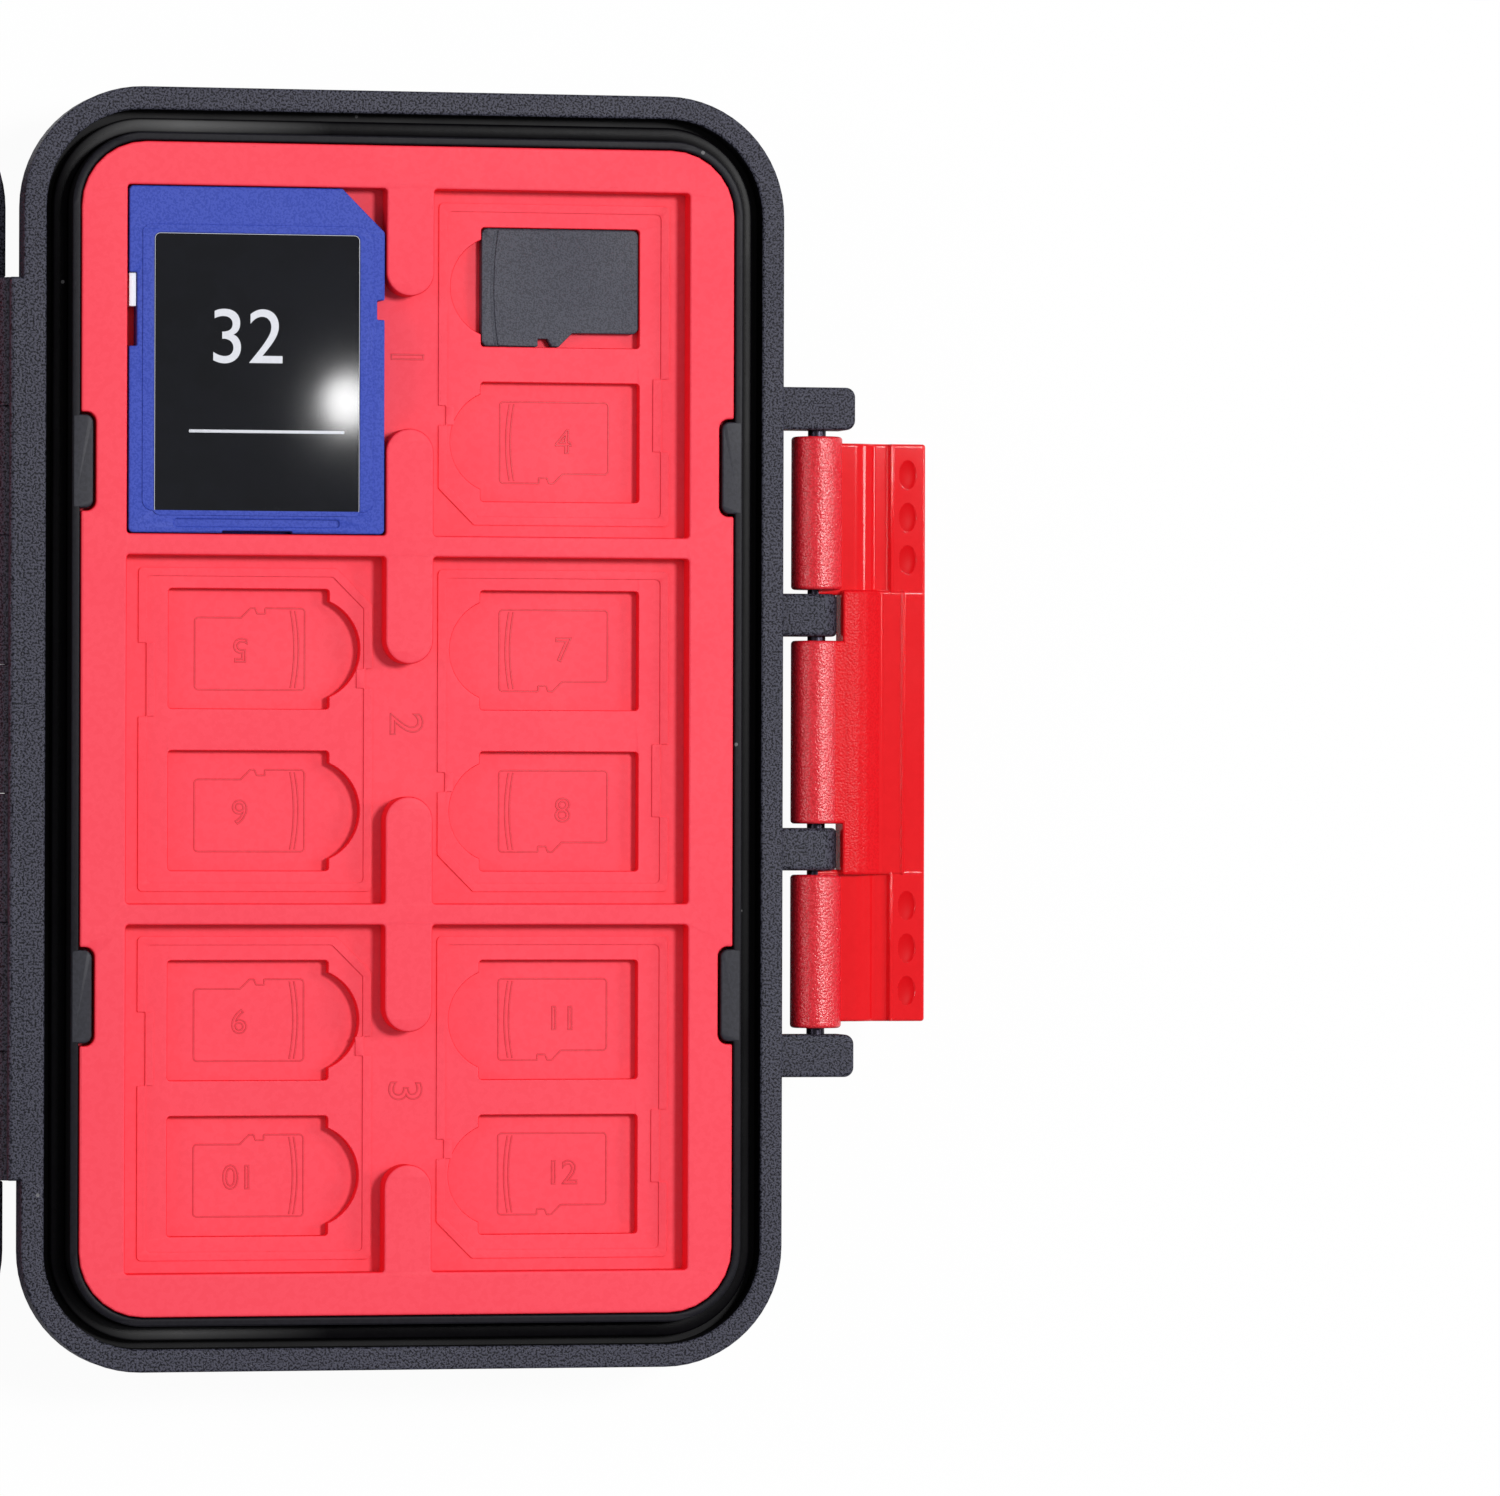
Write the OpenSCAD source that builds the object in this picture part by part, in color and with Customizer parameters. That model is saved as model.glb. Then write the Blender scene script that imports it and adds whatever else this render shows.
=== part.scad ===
// Memory card case: two hinged shells, each holding a soft insert with card pockets.
// It lies open and flat: base on the right, lid folded out to the left, latch folded out.
// Millimetres, +Z up, origin at the centre of the base's flat underside.

/* [Case] */
// Width of each half across its rim
case_w = 72; // [70:0.5:95]
// Length of each half along the hinge
case_l = 118.8; // [115:0.2:150]
// Height of the base from its underside to the parting plane
base_h = 14; // [13:0.1:20]
// Height of the lid from the parting plane to its outer face
lid_h = 9; // [8.6:0.1:14]
// Corner radius of the rim in plan
corner_r = 11.2; // [8:0.1:16]
// Chamfer around the outer face of each half
foot_chamfer = 2; // [0.6:0.1:2.4]
// Thickness of the shells' floors
floor_t = 1.6; // [1:0.1:2.2]

/* [Rim and seal] */
// Width of the flat rim
rim_w = 2.15; // [1.6:0.05:3]
// Thickness of the rim flange
flange_t = 3; // [2.4:0.1:3.6]
// How far the shell's side stands back under the flange
body_inset = 1.5; // [1.3:0.1:1.6]
// Width of the moat between the rim and the inner wall
moat_w = 2.17; // [1.8:0.01:3]
// Depth of the moat below the parting plane
moat_depth = 2.4; // [2.1:0.1:2.6]
// Thickness of the inner wall around the insert
wall_t = 0.75; // [0.6:0.05:1.5]
// Height of the inner wall and insert above the parting plane
wall_rise = 1.45; // [1:0.05:2]
// Width of the rubber seal
seal_w = 1.4; // [1:0.05:1.6]
// Depth of the seal's top below the parting plane
seal_drop = 1; // [0.6:0.05:1.5]
// Depth that the lid's tongue reaches below the parting plane
tongue_h = 0.9; // [0.4:0.05:1]

/* [Insert] */
// Thickness of the insert in the base
base_insert_t = 6; // [4.5:0.1:8]
// Thickness of the insert in the lid
lid_insert_t = 4.5; // [4.3:0.1:5.2]
// Depth of a full-size card pocket
sd_depth = 2.35; // [2.25:0.05:2.6]
// Depth of a small card pocket below the full-size pocket's floor
micro_depth = 1.25; // [1.05:0.05:1.5]
// Wall between two rows of pockets
row_wall = 1.97; // [1:0.01:4]
// Width of the bars between the two columns
bar_w = 4.5; // [3:0.1:8]
// Length of the finger gap between two bars
finger_gap = 12.3; // [8:0.1:16]
// Spacing of the two small pockets in the end rows
micro_pitch_end = 14.42; // [13:0.01:16]
// Spacing of the two small pockets in the middle row
micro_pitch_mid = 15; // [13:0.01:16]
// Offset of the small pockets away from the bars
micro_shift = 0.3; // [0:0.05:0.8]
// Radius of the thumb recess beside a small pocket
thumb_r = 4.8; // [3:0.1:5.2]
// Distance of the thumb recess's centre inside the small pocket's end
thumb_in = 1.9; // [1:0.1:3]
// Width of the raised card outline on a pocket floor
ridge_w = 0.8; // [0.5:0.05:1.2]
// Height of the raised card outline
ridge_h = 0.15; // [0.1:0.01:0.2]
// Length of a retaining tab
tab_l = 8.6; // [5:0.1:14]
// Reach of a retaining tab from the inner wall's outer face
tab_reach = 1.98; // [1.2:0.01:3]
// Thickness of a retaining tab
tab_t = 1.6; // [1:0.1:2.2]
// Distance of the tabs from the middle
tab_y = 24.65; // [15:0.05:40]

/* [Hinge] */
// Distance of the hinge axis outside the rim's edge
hinge_out = 0.45; // [0.4:0.05:0.6]
// Length of the hinge
hinge_l = 83; // [60:1:95]
// Number of knuckles, base and lid together
hinge_knuckles = 7; // [5:2:11]
// Radius of the hinge knuckles
hinge_r = 1.6; // [1.4:0.05:1.7]
// Radius of the hinge pin
hinge_pin_r = 0.8; // [0.5:0.05:0.9]
// Reach of the strip over the knuckles from the rim's edge
strip_reach = 1.2; // [0.8:0.05:1.3]

/* [Latch] */
// Distance of the latch axis outside the rim's edge
latch_out = 3.75; // [3.5:0.05:5]
// Height of the latch axis below the parting plane
latch_drop = 2.5; // [2.3:0.1:4]
// Radius of the latch barrels
latch_r = 2.4; // [1.8:0.05:2.45]
// Half the height of the latch knuckles, and the round of the inner ones
latch_knuckle_r = 1.9; // [1.4:0.05:1.95]
// Radius of the latch pin
latch_pin_r = 0.85; // [0.6:0.05:1.1]
// Width of a latch knuckle
latch_knuckle_w = 4; // [3:0.1:6]
// Distance of the inner latch knuckles from the middle
latch_knuckle_in = 11; // [8:0.1:14]
// Distance of the outer latch knuckles from the middle
latch_knuckle_end = 30.4; // [28:0.1:40]
// Reach of the outer knuckles past the latch axis
ear_reach = 3.3; // [2:0.1:5]
// Reach of the latch plate from its axis
plate_reach = 10.5; // [9.8:0.05:11.2]
// Thickness of the latch plate under its axis
plate_under = 1.2; // [0.8:0.05:1.6]
// Height of the latch's middle over its axis
plate_mid_top = 1.95; // [1.2:0.05:2.1]
// Height of the latch's two ends over its axis
plate_end_top = 0.9; // [0.6:0.05:1.2]
// Depth of a finger dimple in the latch
dimple_depth = 0.4; // [0.2:0.05:0.8]

/* [Cards] */
// Width of a full-size card
sd_w = 24; // [24:0.1:24.2]
// Length of a full-size card
sd_l = 32; // [32:0.1:32.2]
// Thickness of a full-size card
sd_t = 2.1; // [1.8:0.05:2.15]
// Length of a small card
micro_l = 15; // [14.9:0.05:15.2]
// Width of a small card
micro_w = 11; // [10.9:0.05:11.2]
// Thickness of a small card
micro_t = 1; // [0.7:0.05:1.1]

/* [Fits] */
// Gap between the closed rims
seam_gap = 0.05; // [0.02:0.01:0.2]
// Gap between an insert and its wall
insert_gap = 0.09; // [0.05:0.01:0.3]
// Play of a full-size card across its pocket
sd_play_w = 0.3; // [0.1:0.05:0.5]
// Play of a full-size card along its pocket
sd_play_l = 0.17; // [0.1:0.01:0.5]
// Play of a small card in its pocket
micro_play = 0.1; // [0.06:0.02:0.3]
// Running clearance of a pin in a moving bore
run_fit = 0.05; // [0.02:0.01:0.1]
// Clearance of a pin pressed into its bore
press_fit = 0.01; // [0.005:0.005:0.02]
// Gap between neighbouring knuckles
knuckle_gap = 0.3; // [0.2:0.05:0.5]
// Clearance around swinging parts
swing_gap = 0.15; // [0.1:0.05:0.3]

/* [Hidden] */
$fn = 64;

shell_color = [0.25, 0.25, 0.29];
seal_color = [0.06, 0.06, 0.07];
insert_color = [0.95, 0.27, 0.33];
latch_color = [0.86, 0.14, 0.18];
steel_color = [0.72, 0.73, 0.75];
card_blue = [0.26, 0.31, 0.68];
card_dark = [0.24, 0.24, 0.29];
label_color = [0.12, 0.12, 0.16];
slider_color = [0.93, 0.93, 0.93];
board_color = [0.12, 0.36, 0.2];
gold_color = [0.86, 0.68, 0.3];

eps = 0.01;
over = 1;

closed_h = base_h + lid_h;
base_top = base_h + wall_rise;
moat_in = rim_w + moat_w;
wall_in = moat_in + wall_t;
insert_in = wall_in + insert_gap;
seal_gap = 0.05;
seal_in = moat_in - seal_gap;
seal_out = seal_in - seal_w;
lid_bore_in = moat_in - 0.35;
tongue_out = seal_out + 0.05;
insert_clear = 0.3;
tab_corner = 0.9;
tab_play = 0.25;
lid_face = base_h + wall_rise + insert_clear;
moat_floor = base_h - moat_depth;

hinge_x = -(case_w / 2 + hinge_out);
hinge_z = closed_h / 2;
hinge_pitch = (hinge_l + knuckle_gap) / hinge_knuckles;
knuckle_len = hinge_pitch - knuckle_gap;
strip_t = base_h - hinge_z - hinge_r - swing_gap - 0.05;
strip_x = -(case_w / 2 + strip_reach);
strip_round = 0.45;
arm_t = 0.65;
arm_h = 4.5;
arm_round = 0.5;
root_in = 0.5;
relief_x = hinge_x + hinge_r + swing_gap;
lid_x = 2 * hinge_x;

latch_x = case_w / 2 + latch_out;
latch_z = base_h - latch_drop;
latch_l = 2 * (latch_knuckle_end - latch_knuckle_w / 2) - 2.4;
barrel_end = latch_l / 2 + 0.6;
barrel_gap = 0.4;
plate_root = latch_knuckle_r + swing_gap;
lip_top = 0.4;
lip_at = 7.25;
mid_lip_at = 8.35;
hollow_at = 4.2;
hollow_z = 0;
mid_hollow_z = 0.5;
catch_r = 0.9;
catch_at = 6;
catch_side = 1.1;
zone_start = latch_knuckle_in + latch_knuckle_w / 2 + barrel_gap;
zone_end = latch_l / 2;
mid_barrel_end = latch_knuckle_in - latch_knuckle_w / 2 - barrel_gap;
dimple_at = 8.7;
dimple_w = 1.6;
dimple_l = 2.9;
dimple_pitch = 4;
dimple_count = 3;

sd_pocket_w = sd_w + sd_play_w;
sd_pocket_l = sd_l + sd_play_l;
col_pitch = sd_pocket_w + bar_w;
row_pitch = sd_pocket_l + row_wall;
micro_pocket_l = micro_l + micro_play;
micro_pocket_w = micro_w + micro_play;
outline_inset = 1;
outline_shift = 0.3;
card_gap = 0.02;
rib_t = 1.2;
rib_pitch = 20.7;

sd_chamfer = 4;
sd_corner = 1;
sd_lock_y = 8;
sd_lock_l = 6.8;
sd_lock_depth = 0.75;
sd_slider_l = 3.1;
sd_key_y = 4.8;
sd_key_l = 1.8;
sd_key_depth = 0.7;
sd_rear_t = 0.7;
sd_board_t = 0.5;
sd_board_w = 20;
sd_board_l = 28;
sd_label_w = 19.2;
sd_label_l = 25.9;
sd_label_y = -1.3;
sd_label_t = 0.1;
sd_pad_count = 8;
sd_pad_w = 1.5;
sd_pad_pitch = 2.4;
sd_pad_l = 4.2;
sd_pad_t = 0.1;
micro_pad_count = 8;
micro_pad_pitch = 1.1;
micro_pad_w = 0.8;
micro_pad_l = 2.9;
micro_pad_t = 0.06;

// Rectangle with true round corners, centred
module round_rect(w, l, r) {
    square([w - 2 * r, l], center = true);
    square([w, l - 2 * r], center = true);
    for (sx = [-1, 1], sy = [-1, 1])
        translate([sx * (w / 2 - r), sy * (l / 2 - r)])
            circle(r);
}

// Slot with half-round ends, centred, its length along Y
module capsule(w, l) {
    square([w, l - w], center = true);
    for (s = [-1, 1])
        translate([0, s * (l - w) / 2])
            circle(w / 2);
}

// Plate that follows the rim's plan, set in from its edge
module inset_plate(inset, h) {
    linear_extrude(h)
        round_rect(case_w - 2 * inset, case_l - 2 * inset, corner_r - inset);
}

// Closed band between two insets
module inset_ring(outer, inner, h) {
    difference() {
        inset_plate(outer, h);
        translate([0, 0, -over])
            inset_plate(inner, h + 2 * over);
    }
}

// Block that follows the rim's plan, with a chamfer round its lower face
module chamfered_block(inset, h, c) {
    w = case_w - 2 * inset;
    l = case_l - 2 * inset;
    r = corner_r - inset;
    translate([0, 0, c])
        inset_plate(inset, h - c);
    for (sx = [-1, 1], sy = [-1, 1])
        translate([sx * (w / 2 - r), sy * (l / 2 - r), 0])
            cylinder(h = c, r1 = r - c, r2 = r);
    along_y(-(l / 2 - r), l - 2 * r)
        polygon([[c - w / 2, 0], [w / 2 - c, 0], [w / 2, c], [-w / 2, c]]);
    rotate([0, 0, 90])
        along_y(-(w / 2 - r), w - 2 * r)
            polygon([[c - l / 2, 0], [l / 2 - c, 0], [l / 2, c], [-l / 2, c]]);
}

// Extrusion along Y of a profile drawn in X and Z
module along_y(y, len) {
    translate([0, y + len, 0])
        rotate([90, 0, 0])
            linear_extrude(len)
                children();
}

// Swings what is drawn closed on the base out to the flat open place
module lid_open() {
    translate([2 * hinge_x, 0, 2 * hinge_z])
        rotate([0, 180, 0])
            children();
}

function knuckle_y(i) = -hinge_l / 2 + i * hinge_pitch;

// Retaining tabs at the four places beside the insert, drawn from their top face down
module tabs(grow, h) {
    reach = tab_reach + grow;
    for (sx = [-1, 1], sy = [-1, 1])
        translate([sx * (case_w / 2 - moat_in - reach / 2 + 0.5), sy * tab_y, -h])
            linear_extrude(h)
                round_rect(reach + 1, tab_l + 2 * grow, tab_corner);
}

// Lattice that carries an insert above a shell's floor
module support_ribs(h) {
    intersection() {
        inset_plate(wall_in - eps, h);
        for (i = [-1:1]) {
            translate([i * rib_pitch - rib_t / 2, -case_l / 2, 0])
                cube([rib_t, case_l, h]);
            translate([-case_w / 2, i * row_pitch - rib_t / 2, 0])
                cube([case_w, rib_t, h]);
        }
    }
}

// Strip level with the rim that covers the hinge knuckles
module hinge_strip() {
    r = strip_round;
    along_y(-hinge_l / 2, hinge_l) {
        translate([strip_x, base_h - strip_t])
            square([strip_reach + rim_w, strip_t - r]);
        translate([strip_x + r, base_h - r - eps])
            square([strip_reach + rim_w - r, r + eps]);
        translate([strip_x + r, base_h - r])
            circle(r);
    }
}

// Base knuckles stand at the even places, merged with the strip and the side
module base_hinge_knuckles() {
    for (i = [0:2:hinge_knuckles - 1])
        along_y(knuckle_y(i), knuckle_len) {
            translate([hinge_x, hinge_z])
                circle(hinge_r);
            translate([hinge_x, hinge_z - hinge_r])
                square([2 * hinge_r, 2 * hinge_r]);
            translate([strip_x, hinge_z])
                square([hinge_r, base_h - strip_t / 2 - hinge_z]);
        }
}

// Room in the base's side for the lid's knuckles and their arms
module hinge_reliefs() {
    top = base_h - strip_t;
    bottom = hinge_z - arm_h - 2 * swing_gap;
    for (i = [1:2:hinge_knuckles - 1])
        translate([hinge_x - 3 * hinge_r, knuckle_y(i) - knuckle_gap, bottom])
            cube([relief_x - hinge_x + 3 * hinge_r, knuckle_len + 2 * knuckle_gap, top - bottom]);
}

// Lid knuckles at the odd places, drawn closed, with arms that reach round the strip
module lid_hinge_knuckles() {
    arm_x = hinge_x - hinge_r;
    root_x = body_inset + root_in - case_w / 2;
    bridge_z = base_h + seam_gap + swing_gap;
    for (i = [1:2:hinge_knuckles - 1])
        along_y(knuckle_y(i), knuckle_len) {
            translate([hinge_x, hinge_z])
                circle(hinge_r);
            translate([arm_x, hinge_z])
                square([arm_t, arm_h - arm_round]);
            translate([arm_x, bridge_z])
                square([root_x - arm_x, hinge_z + arm_h - arm_round - bridge_z]);
            translate([arm_x + arm_round, hinge_z + arm_h - arm_round - eps])
                square([root_x - arm_x - arm_round, arm_round + eps]);
            translate([arm_x + arm_round, hinge_z + arm_h - arm_round])
                circle(arm_round);
        }
}

// Axis of the hinge as a bore
module hinge_bore(r) {
    translate([hinge_x, 0, hinge_z])
        rotate([90, 0, 0])
            cylinder(h = hinge_l + 2 * over, r = r, center = true);
}

// Axis of the latch as a bore
module latch_bore(r) {
    translate([latch_x, 0, latch_z])
        rotate([90, 0, 0])
            cylinder(h = 2 * latch_knuckle_end + latch_knuckle_w + 2 * over, r = r, center = true);
}

// Four knuckles that carry the latch, the outer two with longer, squarer ears
module latch_knuckles() {
    root = case_w / 2 - body_inset - root_in;
    round = 0.8;
    for (s = [-1, 1], at = [latch_knuckle_in, latch_knuckle_end])
        along_y(s * at - latch_knuckle_w / 2, latch_knuckle_w) {
            translate([latch_x, latch_z])
                circle(latch_knuckle_r);
            translate([root, latch_z - latch_knuckle_r])
                square([latch_x - root, 2 * latch_knuckle_r]);
        }
    for (s = [-1, 1])
        along_y(s * latch_knuckle_end - latch_knuckle_w / 2, latch_knuckle_w)
            translate([latch_x + ear_reach / 2 - round, latch_z])
                round_rect(ear_reach + 2 * round, 2 * latch_knuckle_r, round);
}

module base_shell() {
    insert_seat = base_top - base_insert_t;
    color(shell_color) {
        difference() {
            union() {
                chamfered_block(body_inset, base_h - eps, foot_chamfer);
                translate([0, 0, base_h - flange_t])
                    inset_plate(0, flange_t);
                translate([0, 0, floor_t])
                    inset_plate(moat_in, base_top - floor_t);
                hinge_strip();
                base_hinge_knuckles();
                latch_knuckles();
            }
            translate([0, 0, moat_floor])
                inset_ring(rim_w, moat_in, base_h);
            translate([0, 0, floor_t])
                inset_plate(wall_in, base_top);
            hinge_reliefs();
            hinge_bore(hinge_pin_r + press_fit);
            latch_bore(latch_pin_r + press_fit);
        }
        translate([0, 0, floor_t - eps])
            support_ribs(insert_seat - floor_t + eps);
        intersection() {
            translate([0, 0, base_top])
                tabs(0, tab_t);
            inset_plate(moat_in, base_top);
        }
    }
}

module base_seal() {
    shoulder = 0.4;
    seal_h = moat_depth - seal_drop;
    color(seal_color)
        translate([0, 0, moat_floor]) {
            inset_ring(seal_out, seal_in, seal_h - shoulder);
            translate([0, 0, seal_h - shoulder - eps])
                inset_ring(seal_out + shoulder / 2, seal_in - shoulder / 2, shoulder + eps);
        }
}

// Plan of a full-size card, set in evenly, notches included
module sd_plan(inset) {
    w = sd_w - 2 * inset;
    l = sd_l - 2 * inset;
    cut = sd_chamfer - inset * 0.6;
    difference() {
        round_rect(w, l, sd_corner / 2);
        translate([w / 2, l / 2])
            rotate([0, 0, 45])
                square([2 * sd_chamfer, cut * sqrt(2)], center = true);
        translate([-w / 2 - over, sd_lock_y - sd_lock_l])
            square([sd_lock_depth + over, sd_lock_l]);
        translate([w / 2 - sd_key_depth, sd_key_y - sd_key_l / 2])
            square([sd_key_depth + over, sd_key_l]);
    }
}

// Raised card outline on a pocket floor
module sd_outline_ridge() {
    translate([outline_shift, 0, -sd_depth - eps])
        linear_extrude(ridge_h + eps)
            difference() {
                sd_plan(outline_inset);
                sd_plan(outline_inset + ridge_w);
            }
}

// Places of the six full-size pockets; each child is drawn with its small pockets' pitch in $pitch
module sd_pocket_places() {
    for (side = [-1, 1], row = [-1:1])
        translate([side * col_pitch / 2, row * row_pitch, 0])
            rotate([0, 0, side < 0 ? 0 : 180]) {
                $pitch = row == 0 ? micro_pitch_mid : micro_pitch_end;
                children();
            }
}

// Plan of the two small pockets in a full-size pocket's floor, with their thumb recesses
module micro_pockets_plan(pitch) {
    for (s = [-1, 1])
        translate([-micro_shift, s * pitch / 2]) {
            round_rect(micro_pocket_l, micro_pocket_w, 0.3);
            translate([micro_pocket_l / 2 - thumb_in, 0])
                circle(thumb_r);
        }
}

// Gap between two bars, with the bars' round ends left standing
module finger_cut() {
    end_y = finger_gap / 2 + bar_w / 2;
    linear_extrude(sd_depth + 2 * over)
        difference() {
            square([bar_w + 2 * eps, 2 * end_y], center = true);
            for (s = [-1, 1])
                translate([0, s * end_y])
                    circle(bar_w / 2);
        }
}

// Upper layer of an insert, its top face at zero, cut through by the full-size pockets
module insert_face() {
    difference() {
        translate([0, 0, -sd_depth])
            inset_plate(insert_in, sd_depth);
        translate([0, 0, -sd_depth - over])
            sd_pocket_places()
                linear_extrude(sd_depth + 2 * over)
                    round_rect(sd_pocket_w, sd_pocket_l, 0.3);
        for (row = [-1:1])
            translate([0, row * row_pitch, -sd_depth - over])
                finger_cut();
        translate([0, 0, over])
            tabs(tab_play, tab_t + 0.2 + over);
    }
}

// Middle layer of an insert, cut through by the small pockets, with the card outlines on it
module insert_cells() {
    difference() {
        translate([0, 0, -sd_depth - micro_depth])
            inset_plate(insert_in, micro_depth);
        translate([0, 0, -sd_depth - micro_depth - over])
            sd_pocket_places()
                linear_extrude(micro_depth + 2 * over)
                    micro_pockets_plan($pitch);
    }
    sd_pocket_places()
        sd_outline_ridge();
}

// Lower layer of an insert, a plain sheet that closes the small pockets
module insert_back(thick) {
    translate([0, 0, -thick])
        inset_plate(insert_in, thick - sd_depth - micro_depth);
}

module on_base() {
    color(insert_color)
        translate([0, 0, base_top])
            children();
}

module in_lid() {
    color(insert_color)
        translate([lid_x, 0, closed_h - lid_face])
            children();
}

module base_insert_face() {
    on_base()
        insert_face();
}

module base_insert_cells() {
    on_base()
        insert_cells();
}

module base_insert_back() {
    on_base()
        insert_back(base_insert_t);
}

module lid_insert_face() {
    in_lid()
        insert_face();
}

module lid_insert_cells() {
    in_lid()
        insert_cells();
}

module lid_insert_back() {
    in_lid()
        insert_back(lid_insert_t);
}

module hinge_pin() {
    color(steel_color)
        translate([hinge_x, 0, hinge_z])
            rotate([90, 0, 0])
                cylinder(h = hinge_l - 0.6, r = hinge_pin_r, center = true);
}

module latch_pin() {
    color(steel_color)
        translate([latch_x, 0, latch_z])
            rotate([90, 0, 0])
                cylinder(h = 2 * latch_knuckle_end + latch_knuckle_w - 0.6, r = latch_pin_r, center = true);
}

// Section of the latch's ends: a hollow that takes the lid's bead, then a lip
module latch_end_section() {
    polygon([
        [0, -plate_under], [plate_reach, -plate_under], [plate_reach, lip_top], [lip_at + 0.1, lip_top],
        [lip_at - 0.1, lip_top + 0.2], [lip_at - 0.5, hollow_z], [hollow_at + 1.1, hollow_z],
        [hollow_at + 0.8, hollow_z + 0.15], [hollow_at, plate_end_top], [0, plate_end_top]
    ]);
}

// Section of the latch's middle: thicker over the axis, with a wide sloping hollow
module latch_mid_section() {
    polygon([
        [0, -plate_under], [plate_reach, -plate_under], [plate_reach, lip_top], [mid_lip_at + 0.1, lip_top],
        [mid_lip_at - 0.05, lip_top + 0.35], [mid_lip_at - 0.25, mid_hollow_z],
        [hollow_at + 1.9, mid_hollow_z], [hollow_at, plate_mid_top], [0, plate_mid_top]
    ]);
}

// Barrels of the latch between the knuckles
module latch_barrels() {
    for (span = [[-barrel_end, -zone_start], [-mid_barrel_end, mid_barrel_end], [zone_start, barrel_end]])
        along_y(span[0], span[1] - span[0])
            circle(latch_r);
}

// Room in the plate for the inner knuckles
module latch_knuckle_notches() {
    for (s = [-1, 1])
        translate([-latch_r - over, s * latch_knuckle_in - latch_knuckle_w / 2 - barrel_gap, -2 * latch_r])
            cube([latch_r + over + plate_root, latch_knuckle_w + 2 * barrel_gap, 4 * latch_r]);
}

// Finger dimples in the lip at one end of the latch
module latch_dimples() {
    middle = (zone_start + zone_end) / 2;
    for (i = [0:dimple_count - 1])
        translate([dimple_at, middle + (i - (dimple_count - 1) / 2) * dimple_pitch, lip_top - dimple_depth])
            linear_extrude(dimple_depth + over)
                capsule(dimple_w, dimple_l);
}

module latch() {
    color(latch_color)
        translate([latch_x, 0, latch_z])
            difference() {
                union() {
                    latch_barrels();
                    along_y(-zone_end, zone_end - zone_start)
                        latch_end_section();
                    along_y(-zone_start, 2 * zone_start)
                        latch_mid_section();
                    along_y(zone_start, zone_end - zone_start)
                        latch_end_section();
                }
                rotate([90, 0, 0])
                    cylinder(h = case_l, r = latch_pin_r + run_fit, center = true);
                latch_knuckle_notches();
                latch_dimples();
                mirror([0, 1, 0])
                    latch_dimples();
            }
}

// Beads on the lid's side that the latch hooks over, drawn closed
module lid_catches() {
    root = case_w / 2 - body_inset - root_in;
    tip = latch_x - catch_side;
    z = latch_z + catch_at;
    clear = 0.4;
    for (s = [-1, 1])
        along_y(s > 0 ? zone_start + clear : clear - zone_end, zone_end - zone_start - 2 * clear) {
            translate([tip, z])
                circle(catch_r);
            translate([root, z - catch_r])
                square([tip - root, 2 * catch_r]);
        }
}

module lid_shell() {
    inner_floor = closed_h - floor_t;
    insert_back = lid_face + lid_insert_t;
    rim_z = base_h + seam_gap;
    color(shell_color)
        lid_open() {
            difference() {
                union() {
                    translate([0, 0, closed_h])
                        mirror([0, 0, 1])
                            chamfered_block(body_inset, closed_h - rim_z, foot_chamfer);
                    difference() {
                        translate([0, 0, rim_z])
                            inset_plate(0, flange_t);
                        translate([-case_w, -hinge_l / 2 - knuckle_gap, base_h - over])
                            cube([case_w / 2 + body_inset, hinge_l + 2 * knuckle_gap, flange_t + 2 * over]);
                    }
                    translate([0, 0, base_h - tongue_h])
                        inset_ring(tongue_out, lid_bore_in, tongue_h + seam_gap + eps);
                    lid_hinge_knuckles();
                    lid_catches();
                }
                translate([0, 0, base_h - over])
                    inset_plate(lid_bore_in, lid_face - base_h + over);
                translate([0, 0, lid_face - eps])
                    inset_plate(wall_in, inner_floor - lid_face + eps);
                hinge_bore(hinge_pin_r + run_fit);
            }
            translate([0, 0, insert_back])
                support_ribs(inner_floor - insert_back + eps);
            intersection() {
                translate([0, 0, lid_face + tab_t])
                    tabs(0, tab_t);
                translate([0, 0, lid_face])
                    inset_plate(moat_in, tab_t);
            }
        }
}

// Puts a full-size card in the upper left pocket, drawn from its underside up
module in_sd_pocket() {
    translate([-col_pitch / 2, row_pitch, base_top - sd_depth + ridge_h + card_gap])
        children();
}

// Eight contact places at the card's chamfered end
module sd_pad_places() {
    for (i = [0:sd_pad_count - 1])
        translate([(i - (sd_pad_count - 1) / 2) * sd_pad_pitch - 0.9, sd_l / 2 - 3.4])
            children();
}

module sd_rear_shell() {
    color(card_blue)
        in_sd_pocket()
            linear_extrude(sd_rear_t)
                difference() {
                    sd_plan(0);
                    sd_pad_places()
                        square([sd_pad_w + 0.1, sd_pad_l + 0.1], center = true);
                }
}

module sd_front_shell() {
    color(card_blue)
        in_sd_pocket()
            difference() {
                translate([0, 0, sd_rear_t])
                    linear_extrude(sd_t - sd_rear_t)
                        sd_plan(0);
                translate([0, -0.5, sd_rear_t - eps])
                    linear_extrude(sd_board_t + 0.05 + eps)
                        round_rect(sd_board_w + 0.2, sd_board_l + 0.2, 0.5);
                translate([0, sd_label_y, sd_t - sd_label_t])
                    linear_extrude(sd_label_t + over)
                        round_rect(sd_label_w + 0.1, sd_label_l + 0.1, 1);
            }
}

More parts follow.
